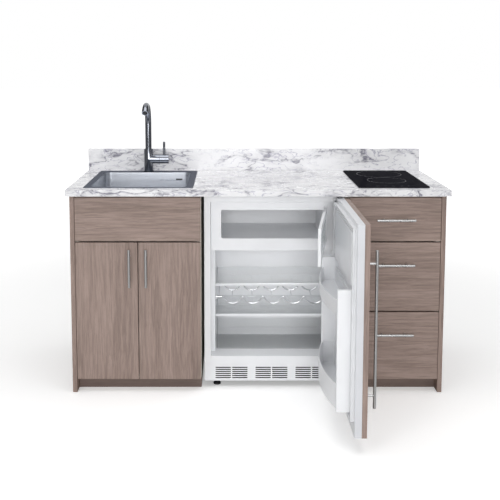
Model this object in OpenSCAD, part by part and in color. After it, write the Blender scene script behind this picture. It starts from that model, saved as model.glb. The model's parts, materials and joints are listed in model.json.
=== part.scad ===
// Kitchenette unit: sink unit with two doors, refrigerator bay with a panelled door, drawer unit with a
// hob, and one worktop over all three.
// Frame: origin on the floor at the wall, half way along the row; +X right, +Z up, fronts face -Y.
// The refrigerator door and its freezer flap are drawn open, everything else is drawn closed.

/* [Row of units] */
// Width of the sink unit between the end panel and the refrigerator bay
sink_unit_w = 521; // [500:1:620]
// Width of the drawer unit
drawer_unit_w = 381; // [370:1:480]
// Thickness of the end panels
end_panel_t = 19; // [16:1:25]
// Thickness of the carcass boards
board_t = 16; // [15:1:19]
// Thickness of the carcass backs
back_t = 6; // [3:1:8]
// Depth of the carcasses from the wall
carcass_d = 586; // [560:1:600]
// Height of the carcasses and end panels
carcass_h = 838; // [838:1:900]
// Height of the toe space
toe_h = 57; // [50:1:100]
// Setback of the toe kick boards from the carcass front
toe_setback = 50; // [30:1:80]
// Thickness of the toe kick boards
toe_t = 12; // [9:1:16]

/* [Fronts] */
// Thickness of doors and drawer fronts
front_t = 19; // [16:1:22]
// Air gap between a closed front and its carcass
front_gap = 2; // [1:0.5:3]
// Gap between a front and an end panel
edge_gap = 1.5; // [1:0.5:3]
// Gap between the two doors of the sink unit
door_gap = 3; // [2:0.5:5]
// Gap between the rows of fronts
row_gap = 6; // [3:1:10]
// Height of the lowest edge of the fronts
front_z0 = 58; // [58:1:110]
// Height of the top front of each unit
top_front_h = 182; // [150:1:200]
// Gap between the fronts and the worktop
top_gap = 9; // [8:0.5:14]
// Height of the lowest drawer front
low_front_h = 288; // [260:1:310]

/* [Worktop] */
// Thickness of the worktop
worktop_t = 26; // [20:1:40]
// Overhang of the worktop in front of the fronts
front_overhang = 28; // [15:1:40]
// Overhang of the worktop past each end panel
side_overhang = 12.5; // [0:0.5:25]
// Height of the backsplash
splash_h = 102; // [60:1:150]
// Thickness of the backsplash
splash_t = 19; // [12:1:25]

/* [Sink] */
// Width of the sink rim
sink_w = 457; // [430:1:470]
// Gap between the front of the worktop and the sink rim
sink_front_gap = 54; // [50:1:100]
// Gap between the backsplash and the sink rim
sink_back_gap = 32; // [25:1:36]
// Thickness of the sink sheet
sink_sheet = 1.2; // [1:0.1:2]
// Width of the rim on each side of the bowl
sink_side_rim = 29; // [24:1:40]
// Width of the rim in front of the bowl
sink_front_rim = 22; // [20:1:30]
// Width of the ledge behind the bowl
sink_ledge = 60; // [56:1:80]
// Depth of the bowl below the worktop
bowl_depth = 150; // [120:1:190]
// Corner radius of the bowl
bowl_r = 30; // [25:1:60]
// Fillet between the walls and the floor of the bowl
bowl_fillet = 16; // [8:1:22]
// Diameter of the drain opening
drain_hole_d = 90; // [85:1:95]
// Depth of the drain cup below the bowl
drain_cup_h = 58; // [45:1:70]
// Outer diameter of the waste pipe
waste_d = 38; // [32:1:40]
// Wall of the waste pipe
waste_wall = 2; // [1.5:0.5:3]
// Bend radius of the waste pipe
waste_bend_r = 45; // [40:1:50]

/* [Tap] */
// Diameter of the tap body
tap_d = 42; // [38:1:48]
// Height of the tap body
tap_body_h = 103; // [90:1:120]
// Height of the side housing above the sink
tap_side_z = 60; // [50:1:70]
// Length of the fixed side housing from the tap axis
tap_side_l = 51; // [45:1:60]
// Length of the turning hub
tap_hub_l = 44; // [38:1:50]
// Length of the supply tails under the sink
tail_l = 120; // [100:5:140]
// Diameter of the supply thread on each tail
inlet_d = 16.6; // [12:0.1:20.8]
// Length of the supply thread on each tail
inlet_l = 14; // [10:1:16]
// Diameter of the spout
spout_d = 29; // [22:1:32]
// Bend radius of the spout
spout_r = 88; // [70:1:110]
// Height of the straight part of the spout above the tap body
spout_straight = 124; // [80:1:160]
// Sweep of the spout bend
spout_sweep = 130; // [120:1:175]
// Turn of the spout to the left at rest
spout_turn = 0; // [0:1:20]
// Diameter of the lever
lever_d = 12; // [8:1:14]
// Length of the lever from its pivot
lever_l = 82; // [60:1:90]

/* [Hob] */
// Width of the hob glass
hob_w = 295; // [280:1:310]
// Gap between the backsplash and the hob glass
hob_back_gap = 49; // [40:1:60]
// Thickness of the hob glass
hob_glass_t = 5; // [4:1:6]
// Gap between the front of the worktop and the hob glass
hob_front_gap = 57; // [50:1:80]
// Depth of the hob case below the worktop top
hob_case_h = 46; // [40:1:60]
// Sheet of the hob case
hob_sheet = 1; // [0.8:0.1:2]
// Diameter of the rear heater
heater_rear_d = 200; // [180:1:210]
// Diameter of the front heater
heater_front_d = 165; // [140:1:180]
// Distance from the rear edge of the hob glass to the middle of the rear heater
heater_rear_y = 124; // [110:1:140]
// Distance between the middles of the heaters
heater_pitch = 198; // [190:1:210]

/* [Bar pulls] */
// Diameter of every bar pull
pull_d = 11; // [9:1:14]
// Length of the short bar pulls
pull_l = 158; // [140:1:200]
// Distance between the posts of the short pulls
pull_centres = 96; // [96:32:128]
// Reach of the pulls in front of their fronts
pull_reach = 35; // [30:1:40]
// Diameter of the pull posts
post_d = 8; // [6:1:9]
// Length of the refrigerator pull
long_pull_l = 575; // [400:5:650]
// Distance between the posts of the refrigerator pull
long_pull_centres = 480; // [320:32:576]

/* [Refrigerator] */
// Width of the refrigerator
fridge_w = 594; // [588:1:596]
// Gap on the left of the refrigerator
fridge_gap = 12; // [8:1:14]
// Gap on the right of the refrigerator
fridge_right_gap = 4; // [3:1:8]
// Depth of the refrigerator cabinet without its door
fridge_d = 460; // [440:1:475]
// Gap between the refrigerator and the worktop
fridge_top_gap = 13; // [12:1:24]
// Setback of the refrigerator cabinet behind the faces of the fronts
fridge_setback = 60; // [56:1:70]
// Height of the feet
foot_h = 25; // [20:1:30]
// Height of the base frame
base_h = 73; // [60:1:80]
// Side and rear wall of the cabinet
wall_t = 45; // [40:1:50]
// Side wall at the throat in front of the shelves
throat_wall = 27; // [25:1:30]
// Depth of the wide throat
throat_d = 67; // [60:1:75]
// Top wall of the cabinet
roof_t = 26; // [24:1:32]
// Floor wall of the cabinet
floor_t = 39; // [36:1:45]
// Thickness of the inner liner
liner_t = 2; // [1.5:0.5:3]
// Thickness of the steel shell
shell_t = 1; // [0.7:0.1:1.5]
// Height of the top of the upper shelf
shelf_z = 425; // [400:1:450]
// Height of the top of the crisper cover
cover_z = 290; // [280:1:300]
// Drop of the wine rack wires below the upper shelf
rack_drop = 60; // [56:1:66]
// Thickness of the shelf glass
pane_t = 4; // [3:1:5]
// Setback of the shelf fronts behind the cabinet front
shelf_setback = 88; // [86:1:100]
// Distance of the freezer opening from the left side of the throat
freezer_left = 44; // [40:1:60]
// Distance of the freezer opening from the right side of the throat
freezer_right = 65; // [60:1:80]
// Height of the freezer opening
freezer_h = 122; // [110:1:126]
// Depth of the freezer compartment
freezer_d = 340; // [300:1:370]
// Number of bottle cradles
cradle_count = 5; // [4:1:5]
// Straight end of the rack wires on each side of the cradles
rack_end = 30.25; // [28:0.25:36]
// Diameter of the rack wire
wire_d = 5; // [4:0.5:6]

/* [Refrigerator door] */
// Angle at which the door stands open
door_rest = 90; // [0:1:90]
// Thickness of the insulated door
door_t = 26; // [24:1:30]
// Distance of the hinge axis from the door edge
axis_edge = 12; // [12:1:14]
// Distance of the hinge axis behind the door face
axis_face = 12; // [9:1:12]
// Diameter of the hinge pins
hinge_pin_d = 8; // [6:1:8]
// Depth of the door bins
bin_depth = 50; // [40:1:55]
// Bulge of the bin fronts
bin_bulge = 36; // [20:1:38]
// Ratio of the flap angle to the door angle
flap_ratio = 0.9; // [0.85:0.05:0.95]

/* [Drawers] */
// Thickness of the drawer box walls
drawer_wall = 12; // [10:1:15]
// Thickness of the drawer bottoms
drawer_floor = 6; // [4:1:8]
// Depth of the drawer boxes
drawer_d = 450; // [400:10:500]
// Space for a runner beside a drawer box
runner_gap = 12.5; // [12:0.5:13]
// Height of a runner
runner_h = 45; // [35:1:45]
// Height of the top drawer box
top_box_h = 100; // [80:1:110]
// Height of the deep drawer boxes
deep_box_h = 200; // [150:10:220]

/* [Hidden] */

$fn = 64;
EPS = 0.01;

// Places along the row, from left to right
fridge_bay_w = fridge_gap + fridge_w + fridge_right_gap;
row_w = sink_unit_w + fridge_bay_w + drawer_unit_w;
x_left = -row_w / 2 - end_panel_t;
x_sink = x_left + end_panel_t;
x_bay = x_sink + sink_unit_w;
x_drawers = x_bay + fridge_bay_w;
x_end = x_drawers + drawer_unit_w;
x_right = x_end + end_panel_t;

// Places from the wall to the front, and up from the floor
face_y = -(carcass_d + front_gap + front_t);
front_back_y = face_y + front_t;
worktop_d = -face_y + front_overhang;
worktop_z = carcass_h + worktop_t;
front_z1 = carcass_h - top_gap;
top_front_z0 = front_z1 - top_front_h;
door_z1 = top_front_z0 - row_gap;
middle_front_z0 = front_z0 + low_front_h + row_gap;
toe_y = -carcass_d + toe_setback;

// Sink and tap
sink_x = (x_sink + x_bay) / 2;
sink_y1 = -splash_t - sink_back_gap;
sink_y0 = -worktop_d + sink_front_gap;
bowl_w = sink_w - 2 * sink_side_rim;
bowl_y0 = sink_y0 + sink_front_rim;
bowl_y1 = sink_y1 - sink_ledge;
bowl_y = (bowl_y0 + bowl_y1) / 2;
bowl_z = worktop_z - bowl_depth;
cutout_lap = 9;
tap_y = sink_y1 - sink_ledge / 2;
tap_z = worktop_z + sink_sheet;
tap_ring_d = tap_d + 6;
tap_hole_d = 35;
hub_x = sink_x + tap_side_l + tap_hub_l / 2;
spout_z = tap_z + tap_body_h;
flange_t = 1.5;
flange_w = 10;
trap_z = bowl_z - sink_sheet - drain_cup_h - 54;
arm_z = trap_z - 35 + waste_bend_r;

// Hob
hob_x = (x_drawers + x_end) / 2;
hob_y0 = -worktop_d + hob_front_gap;
hob_y1 = -splash_t - hob_back_gap;
hob_lap = 12;
heater_h = 20;

// Refrigerator cabinet
fridge_x0 = x_bay + fridge_gap;
fridge_x1 = fridge_x0 + fridge_w;
fridge_x = (fridge_x0 + fridge_x1) / 2;
fridge_h = carcass_h - fridge_top_gap;
fridge_y0 = face_y + fridge_setback;
fridge_y1 = fridge_y0 + fridge_d;
body_z0 = foot_h + base_h;
cavity_x0 = fridge_x0 + wall_t;
cavity_x1 = fridge_x1 - wall_t;
cavity_y1 = fridge_y1 - wall_t;
cavity_z0 = body_z0 + floor_t;
cavity_z1 = fridge_h - roof_t;
throat_x0 = fridge_x0 + throat_wall;
throat_x1 = fridge_x1 - throat_wall;
throat_y1 = fridge_y0 + throat_d;
grille_t = 12;
base_sheet = 3;
step_d = 122;
step_h = 98;
step_z = cavity_z0 + step_h;
tube_d = 6;
condenser_x0 = fridge_x0 + 80;
condenser_x1 = fridge_x1 - 80;
condenser_y = fridge_y1 + 12;
condenser_z0 = step_z + 30;
shelf_y0 = fridge_y0 + shelf_setback;
ledge_w = 8;
ledge_h = 8;
shelf_clear = 2;
rack_z = shelf_z - rack_drop;
cradle_pitch = (cavity_x1 - cavity_x0 - 2 * rack_end) / cradle_count;
crest_r = 6;
crest_lean = 22.5;
cradle_r = cradle_pitch / 2 / cos(crest_lean) - crest_r;
cradle_z = rack_z - crest_r + (cradle_r + crest_r) * sin(crest_lean);
weld_gap = 1.2;
trim_h = 10;
trim_d = 10;
stat = [32, 80, 76];
stat_setback = 100;
stat_rise = 108;
stat_y = shelf_y0 + stat_setback;
stat_z = shelf_z + stat_rise;
dial_pin_d = 8;

// Freezer compartment and its flap
frame_t = 12;
frame_y0 = fridge_y0 + 16;
frame_h = 208;
frame_z0 = cavity_z1 - frame_h;
frame_clear = 1;
freezer_r = 8;
freezer_drop = 35;
freezer_x0 = throat_x0 + freezer_left;
freezer_x1 = throat_x1 - freezer_right;
freezer_z1 = cavity_z1 - freezer_drop;
freezer_z0 = freezer_z1 - freezer_h;
box_wall = 5;
flap_t = 11;
flap_lap = 10;
flap_x0 = freezer_x0 - flap_lap;
flap_x1 = freezer_x1 + flap_lap + 2;
flap_z0 = freezer_z0 - flap_lap;
flap_z1 = freezer_z1 + flap_lap;
flap_axis = [flap_x1 - 6, frame_y0 - 9];
flap_pin_d = 4;
lug_gap = 2;
lug_h = 6;

// Refrigerator door
door_axis = [fridge_x1 - axis_edge, face_y + axis_face];
door_back_y = face_y + front_t + door_t;
door_clear = 8;
door_inner_x0 = throat_x0 + door_clear;
door_inner_x1 = throat_x1 - door_clear;
raised_t = 8;
dike_w = 16;
dike_d = 54;
dike_z0 = cavity_z0 + 3;
dike_z1 = frame_z0 - 4;
low_bin_h = 92;
middle_bin_h = 55;
middle_bin_z = shelf_z + 65;
pad_inset = 26;
pad_t = 4.5;
pad_r = 14;
pocket_gap = 6;
pocket_r = 8;
bracket_t = 3;
lug_w = 22;
bracket_gap = 1.5;
pin_run = 18;

// Doors and drawers
unit_front_x0 = x_sink + edge_gap;
unit_front_x1 = x_bay - edge_gap;
door_w = (unit_front_x1 - unit_front_x0 - door_gap) / 2;
drawer_x0 = x_drawers + 2;
drawer_x1 = x_end - edge_gap;
drawer_x = (drawer_x0 + drawer_x1) / 2;
box_x0 = x_drawers + board_t + runner_gap;
box_x1 = x_end - board_t - runner_gap;
box_rise = 20;
runner_rise = 15;
cup_d = 35;
cup_t = 12;
cup_edge = 22;
cup_z = 90;
split_edge = 33;
pull_drop = 91;

// One entry per drawer: bottom of the front, top of the front, height of the box
top_drawer = [top_front_z0, front_z1, top_box_h];
middle_drawer = [middle_front_z0, door_z1, deep_box_h];
bottom_drawer = [front_z0, front_z0 + low_front_h, deep_box_h];

// Colours
oak = [0.58, 0.50, 0.46];
board = [0.80, 0.76, 0.70];
marble = [0.87, 0.87, 0.89];
steel = [0.68, 0.69, 0.71];
dark_chrome = [0.36, 0.37, 0.41];
white = [0.93, 0.94, 0.95];
black = [0.08, 0.08, 0.09];
clear = [0.85, 0.92, 0.95, 0.4];

// ---- Shapes used by several sub-parts ----

// A block between two corners
module block(lo, hi) {
    translate(lo) cube(hi - lo);
}

// A flat outline with round corners between two corners
module round_rect(lo, hi, r) {
    translate([lo.x + r, lo.y]) square([hi.x - lo.x - 2 * r, hi.y - lo.y]);
    translate([lo.x, lo.y + r]) square([hi.x - lo.x, hi.y - lo.y - 2 * r]);
    for (x = [lo.x + r, hi.x - r], y = [lo.y + r, hi.y - r])
        translate([x, y]) circle(r);
}

// A block with round vertical corners
module round_block(lo, hi, r) {
    translate([0, 0, lo.z]) linear_extrude(hi.z - lo.z) round_rect([lo.x, lo.y], [hi.x, hi.y], r);
}

// A round rod between two points on one axis direction
module rod(from, length, d, dir) {
    turn = dir == "x" ? [0, 90, 0] : dir == "y" ? [-90, 0, 0] : [0, 0, 0];
    translate(from) rotate(turn) cylinder(d = d, h = length);
}

// A bar pull with two posts, along dir, standing out of a face at face_y
module bar_pull(x, z, length, centres, dir) {
    along = dir == "z" ? [0, 0, 1] : [1, 0, 0];
    y_bar = face_y - pull_reach + pull_d / 2;
    difference() {
        for (side = [-1, 1])
            rod([x, y_bar, z] + along * side * centres / 2, face_y - y_bar, post_d, "y");
        rod([x, y_bar, z] - along * length / 2, length, pull_d, dir);
    }
    rod([x, y_bar, z] - along * length / 2, length, pull_d, dir);
}

// Puts a closed refrigerator door piece at the door's open angle
module door_open() {
    translate(door_axis) rotate(door_rest) translate(-door_axis) children();
}

// Puts a closed flap piece at the flap's open angle
module flap_open() {
    translate(flap_axis) rotate(door_rest * flap_ratio) translate(-flap_axis) children();
}

// ---- Worktop and cabinets ----

module sink_cutout(z0, z1) {
    round_block([sink_x - sink_w / 2 + cutout_lap, sink_y0 + cutout_lap, z0],
        [sink_x + sink_w / 2 - cutout_lap, sink_y1 - cutout_lap, z1], 12);
}

module hob_cutout(z0, z1) {
    block([hob_x - hob_w / 2 + hob_lap - 2, hob_y0 + hob_lap - 2, z0],
        [hob_x + hob_w / 2 - hob_lap + 2, hob_y1 - hob_lap + 2, z1]);
}

module worktop() {
    color(marble) difference() {
        block([x_left - side_overhang, -worktop_d, carcass_h], [x_right + side_overhang, 0, worktop_z]);
        sink_cutout(carcass_h - 1, worktop_z + 1);
        hob_cutout(carcass_h - 1, worktop_z + 1);
    }
}

module backsplash() {
    color(marble) block([x_left - side_overhang, -splash_t, worktop_z],
        [x_right + side_overhang, 0, worktop_z + splash_h]);
}

module end_panels() {
    color(oak) for (x = [x_left, x_end])
        block([x, face_y, 0], [x + end_panel_t, 0, carcass_h]);
}

// A carcass side that stands on the floor, notched for the toe space
module carcass_side(x) {
    difference() {
        block([x, -carcass_d, 0], [x + board_t, 0, carcass_h]);
        block([x - 1, -carcass_d - 1, -1], [x + board_t + 1, toe_y, toe_h]);
    }
}

module carcass_sides() {
    color(board) for (x = [x_sink, x_bay - board_t, x_drawers, x_end - board_t]) carcass_side(x);
}

// Runs its children for each unit, with the inner sides as $x0 and $x1
module each_unit() {
    for (unit = [[x_sink, x_bay], [x_drawers, x_end]]) {
        $x0 = unit[0] + board_t;
        $x1 = unit[1] - board_t;
        children();
    }
}

module carcass_floors() {
    color(board) each_unit() block([$x0, -carcass_d, toe_h], [$x1, -back_t, toe_h + board_t]);
}

module carcass_backs() {
    service = [150, 120];
    color(board) difference() {
        each_unit() block([$x0, -back_t, toe_h], [$x1, 0, carcass_h]);
        block([sink_x - service.x / 2, -back_t - 1, arm_z - service.y / 2],
            [sink_x + service.x / 2, 1, arm_z + service.y / 2]);
    }
}

module carcass_rails() {
    rail_h = 60;
    color(board) {
        each_unit() block([$x0, -carcass_d, carcass_h - rail_h * 0.6], [$x1, -carcass_d + board_t, carcass_h]);
        block([x_drawers + board_t, -back_t - board_t, carcass_h - rail_h],
            [x_end - board_t, -back_t, carcass_h]);
    }
}

// Two battens tie the units together at the wall behind the refrigerator
module bay_rails() {
    batten_t = 19;
    color(board) for (z = [[0, toe_h], [carcass_h - toe_h, carcass_h]])
        block([x_bay, -batten_t, z[0]], [x_drawers, 0, z[1]]);
}

module toe_kicks() {
    color([0.38, 0.32, 0.29]) for (x = [[x_sink, x_bay], [x_drawers, x_end]])
        block([x[0], toe_y - toe_t, 0], [x[1], toe_y, toe_h]);
}

// The fixed front hides the sink and is held off the rail by two pads
module false_front() {
    pad = [80, 24];
    color(oak) {
        block([unit_front_x0, face_y, top_front_z0], [unit_front_x1, front_back_y, front_z1]);
        for (x = [unit_front_x0 + 60, unit_front_x1 - 60 - pad.x])
            block([x, front_back_y, front_z1 - pad.y], [x + pad.x, -carcass_d, front_z1]);
    }
}

// ---- Doors of the sink unit ----

// Arms of the concealed hinges on the carcass sides
module hinge_arms() {
    arm = [13, 62, 12];
    plate = [3, 40, 44];
    plate_setback = 18;
    clear_y = -carcass_d + front_gap + 1;
    color(steel) for (z = [front_z0 + cup_z, door_z1 - cup_z], side = [0, 1])
        mirror_about(sink_x, side) {
            block([x_sink + board_t, clear_y + plate_setback, z - plate.z / 2],
                [x_sink + board_t + plate.x, clear_y + plate_setback + plate.y, z + plate.z / 2]);
            block([x_sink + board_t + plate.x, clear_y, z - arm.z / 2],
                [x_sink + board_t + plate.x + arm.x, clear_y + arm.y, z + arm.z / 2]);
        }
}

// Mirrors its children about the plane at x when flip is 1
module mirror_about(x, flip) {
    translate([flip * 2 * x, 0, 0]) mirror([flip, 0, 0]) children();
}

// A door of the sink unit with the pockets for its hinge cups; flip is 1 for the right door
module unit_door(flip) {
    color(oak) difference() {
        mirror_about(sink_x, flip)
            block([unit_front_x0, face_y, front_z0], [unit_front_x0 + door_w, front_back_y, door_z1]);
        for (z = [front_z0 + cup_z, door_z1 - cup_z])
            mirror_about(sink_x, flip)
                rod([unit_front_x0 + board_t + cup_edge, front_back_y - cup_t, z], cup_t + 1, cup_d, "y");
    }
}

// The pull and the hinge cups of a door
module unit_door_fittings(flip) {
    pull_z = door_z1 - 25 - pull_l / 2;
    color(steel) mirror_about(sink_x, flip) {
        bar_pull(unit_front_x0 + door_w - split_edge, pull_z, pull_l, pull_centres, "z");
        for (z = [front_z0 + cup_z, door_z1 - cup_z])
            difference() {
                rod([unit_front_x0 + board_t + cup_edge, front_back_y - cup_t, z], cup_t + 1, cup_d, "y");
                rod([unit_front_x0 + board_t + cup_edge, front_back_y - cup_t + 2, z], cup_t, cup_d - 4, "y");
            }
    }
}

module left_door() { unit_door(0); }
module left_door_fittings() { unit_door_fittings(0); }
module right_door() { unit_door(1); }
module right_door_fittings() { unit_door_fittings(1); }

// ---- Drawers ----

// The height at which a drawer's runners sit
function runner_z(drawer) = drawer[0] + box_rise + runner_rise;

module cabinet_runners() {
    sheet = 1.5;
    depth = 10;
    color(steel) for (drawer = [top_drawer, middle_drawer, bottom_drawer], flip = [0, 1])
        mirror_about((x_drawers + x_end) / 2, flip) difference() {
            block([x_drawers + board_t, -carcass_d + 2, runner_z(drawer)],
                [x_drawers + board_t + depth, -carcass_d + 2 + drawer_d, runner_z(drawer) + runner_h]);
            block([x_drawers + board_t + sheet, -carcass_d, runner_z(drawer) + sheet],
                [x_drawers + board_t + depth + 1, -carcass_d + 4 + drawer_d, runner_z(drawer) + runner_h - sheet]);
        }
}

module drawer_front(drawer) {
    color(oak) block([drawer_x0, face_y, drawer[0]], [drawer_x1, front_back_y, drawer[1]]);
}

module drawer_box(drawer) {
    z0 = drawer[0] + box_rise;
    color(board) difference() {
        block([box_x0, front_back_y, z0], [box_x1, front_back_y + drawer_d, z0 + drawer[2]]);
        block([box_x0 + drawer_wall, front_back_y + drawer_wall, z0 + drawer_floor],
            [box_x1 - drawer_wall, front_back_y + drawer_d - drawer_wall, z0 + drawer[2] + 1]);
    }
}

// The pull and the moving members of the two runners
module drawer_fittings(drawer) {
    sheet = 1.5;
    play = 1;
    color(steel) {
        bar_pull(drawer_x, drawer[1] - pull_drop, pull_l, pull_centres, "x");
        for (flip = [0, 1]) mirror_about((x_drawers + x_end) / 2, flip) {
            block([box_x0 - sheet, front_back_y + 5, runner_z(drawer) + sheet + play],
                [box_x0, front_back_y + drawer_d - 5, runner_z(drawer) + runner_h - sheet - play]);
            block([x_drawers + board_t + sheet + play, front_back_y + 5, runner_z(drawer) + sheet + play],
                [box_x0 - sheet, front_back_y + drawer_d - 5, runner_z(drawer) + runner_h - sheet - play]);
        }
    }
}

module top_drawer_front() { drawer_front(top_drawer); }
module top_drawer_box() { drawer_box(top_drawer); }
module top_drawer_fittings() { drawer_fittings(top_drawer); }
module middle_drawer_front() { drawer_front(middle_drawer); }
module middle_drawer_box() { drawer_box(middle_drawer); }
module middle_drawer_fittings() { drawer_fittings(middle_drawer); }
module bottom_drawer_front() { drawer_front(bottom_drawer); }
module bottom_drawer_box() { drawer_box(bottom_drawer); }
module bottom_drawer_fittings() { drawer_fittings(bottom_drawer); }

// ---- Sink, waste and tap ----

// The section of the bowl's sheet from the axis of a corner outwards: floor, fillet and wall
module bowl_section() {
    flat = bowl_r - bowl_fillet;
    wall_z = bowl_z + bowl_fillet;
    outer_r = bowl_fillet + sink_sheet;
    translate([0, bowl_z - sink_sheet]) square([flat, sink_sheet]);
    translate([bowl_r, wall_z]) square([sink_sheet, worktop_z - wall_z]);
    translate([flat, wall_z]) intersection() {
        difference() {
            circle(outer_r);
            circle(bowl_fillet);
        }
        translate([0, -outer_r]) square(outer_r);
    }
}

// The pressed bowl: four round corners, four straight walls and the floor between them
module bowl() {
    x = [sink_x - bowl_w / 2 + bowl_r, sink_x + bowl_w / 2 - bowl_r];
    y = [bowl_y0 + bowl_r, bowl_y1 - bowl_r];
    for (corner = [[x[1], y[1], 0], [x[0], y[1], 90], [x[0], y[0], 180], [x[1], y[0], 270]])
        translate([corner[0], corner[1], 0]) rotate(corner[2]) rotate_extrude(angle = 90) bowl_section();
    for (wall = [[x[1], y[0], 0, y[1] - y[0]], [x[1], y[1], 90, x[1] - x[0]],
            [x[0], y[1], 180, y[1] - y[0]], [x[0], y[0], 270, x[1] - x[0]]])
        translate([wall[0], wall[1], 0]) rotate(wall[2]) translate([0, wall[3], 0])
            rotate([90, 0, 0]) linear_extrude(wall[3]) bowl_section();
    block([x[0], y[0], bowl_z - sink_sheet], [x[1], y[1], bowl_z]);
}

module sink() {
    x0 = sink_x - bowl_w / 2;
    x1 = sink_x + bowl_w / 2;
    rim_r = 14;
    overflow = [30, 7];
    overflow_drop = 35;
    color(steel) difference() {
        union() {
            difference() {
                round_block([sink_x - sink_w / 2, sink_y0, worktop_z],
                    [sink_x + sink_w / 2, sink_y1, worktop_z + sink_sheet], rim_r);
                round_block([x0, bowl_y0, worktop_z - 1], [x1, bowl_y1, worktop_z + 5], bowl_r);
            }
            bowl();
        }
        rod([sink_x, bowl_y, bowl_z - 5], 10, drain_hole_d, "z");
        rod([sink_x, tap_y, worktop_z - 5], 10, tap_hole_d, "z");
        block([x1 - bowl_r - overflow.x - 10, bowl_y1 - 1, worktop_z - overflow_drop],
            [x1 - bowl_r - 10, bowl_y1 + 5, worktop_z - overflow_drop + overflow.y]);
    }
}

// The drain cup hangs in the bowl by its flange and ends in the tailpiece
module sink_drain() {
    cup_wall = 1.5;
    tail_l = 54;
    cup_r = drain_hole_d / 2 - 1;
    cup_bottom = bowl_z - sink_sheet - drain_cup_h;
    color(steel) translate([sink_x, bowl_y, 0]) rotate_extrude() {
        translate([cup_r - cup_wall, bowl_z]) square([cup_wall + flange_w + 1, flange_t]);
        translate([cup_r - cup_wall, cup_bottom]) square([cup_wall, bowl_z - cup_bottom + EPS]);
        translate([waste_d / 2 - waste_wall, cup_bottom]) square([cup_r - waste_d / 2 + waste_wall, cup_wall]);
        translate([waste_d / 2 - waste_wall, cup_bottom - tail_l]) square([waste_wall, tail_l + EPS]);
    }
}

// The cross-section of the waste pipe
module waste_ring() {
    difference() {
        circle(d = waste_d);
        circle(d = waste_d - 2 * waste_wall);
    }
}

// A straight stretch of waste pipe
module waste_pipe(from, length, dir) {
    translate(from) rotate(dir == "y" ? [-90, 0, 0] : [0, 0, 0]) linear_extrude(length) waste_ring();
}

// A bend of waste pipe in the YZ plane about a centre, starting at an angle from +Y
module waste_bend(centre, start, sweep) {
    translate(centre) rotate([90, 0, 90]) rotate(start)
        rotate_extrude(angle = sweep) translate([waste_bend_r, 0]) waste_ring();
}

// The trap dips under the tailpiece and its arm leaves through the back of the unit
module waste_trap() {
    nut_h = 22;
    dip_z = trap_z - 60;
    rise_y = bowl_y + 2 * waste_bend_r;
    turn_z = arm_z - waste_bend_r;
    color([0.86, 0.86, 0.84]) translate([sink_x, 0, 0]) {
        waste_pipe([0, bowl_y, dip_z], trap_z - dip_z, "z");
        waste_bend([0, bowl_y + waste_bend_r, dip_z], 180, 180);
        waste_pipe([0, rise_y, dip_z], turn_z - dip_z, "z");
        waste_bend([0, rise_y + waste_bend_r, turn_z], 90, 90);
        waste_pipe([0, rise_y + waste_bend_r, arm_z], -rise_y - waste_bend_r, "y");
        translate([0, bowl_y, trap_z - nut_h / 2]) difference() {
            cylinder(d = waste_d + 14, h = nut_h);
            translate([0, 0, -1]) cylinder(d = waste_d, h = nut_h + 2);
        }
    }
}

// The strainer basket stands in the drain cup
module basket_strainer() {
    basket_r = 38;
    sheet = 1.2;
    slot = [3, 14];
    color(steel) translate([sink_x, bowl_y, bowl_z]) {
        difference() {
            rotate_extrude() {
                translate([basket_r - sheet, -22]) square([sheet, 24]);
                translate([basket_r - sheet, flange_t + 0.5]) square([8, sheet]);
                translate([0, -22]) square([basket_r, sheet]);
                translate([0, -22]) square([4, 24]);
                translate([0, 2]) square([9, 5]);
            }
            for (a = [0:45:315]) rotate(a) translate([16, -slot.x / 2, -30]) cube([slot.y, slot.x, 12]);
        }
    }
}

// Fixed body of the tap with its side housing, the shank through the ledge, the back nut and two tails
module tap_body() {
    shank_l = 45;
    shank_d = 32;
    nut_h = 10;
    nut_d = 38;
    yoke = [92, 22, 14];
    tail_x = 36;
    tail_d = 10;
    socket_d = spout_d - 5;
    color(dark_chrome) translate([sink_x, tap_y, tap_z]) {
        difference() {
            union() {
                cylinder(d = tap_ring_d, h = 6);
                cylinder(d = tap_d, h = tap_body_h);
                rod([0, 0, tap_side_z], tap_side_l, tap_d + 1, "x");
            }
            translate([0, 0, tap_body_h - 30]) cylinder(d = socket_d + 0.2, h = 31);
            rod([tap_side_l - 12, 0, tap_side_z], 13, 20.2, "x");
        }
    }
    color(steel) translate([sink_x, tap_y, tap_z]) {
        translate([0, 0, -shank_l]) cylinder(d = shank_d, h = shank_l);
        translate([0, 0, -sink_sheet - nut_h]) cylinder(d = nut_d, h = nut_h);
        block([-yoke.x / 2, -yoke.y / 2, -shank_l - yoke.z], [yoke.x / 2, yoke.y / 2, -shank_l]);
        for (side = [-1, 1]) translate([side * tail_x, 0, -shank_l - yoke.z]) {
            translate([0, 0, -tail_l]) cylinder(d = tail_d, h = tail_l);
            translate([0, 0, -tail_l - inlet_l]) cylinder(d = inlet_d, h = inlet_l);
        }
    }
}

// The spout turns on the body
module tap_spout() {
    aerator_l = 18;
    aerator_d = spout_d + 1;
    color(dark_chrome) translate([sink_x, tap_y, spout_z]) rotate(-spout_turn) {
        translate([0, 0, -28]) cylinder(d = spout_d - 5, h = 28 + EPS);
        translate([0, 0, 0.3]) cylinder(d = tap_d, h = 5);
        cylinder(d = spout_d, h = spout_straight);
        translate([0, -spout_r, spout_straight]) rotate([90, 0, 90]) {
            rotate_extrude(angle = spout_sweep) translate([spout_r, 0]) circle(d = spout_d);
            rotate(spout_sweep) translate([spout_r, -4, 0]) rotate([-90, 0, 0]) difference() {
                cylinder(d = aerator_d, h = aerator_l);
                translate([0, 0, aerator_l - 3]) cylinder(d = aerator_d - 8, h = 4);
            }
        }
    }
}

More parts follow.
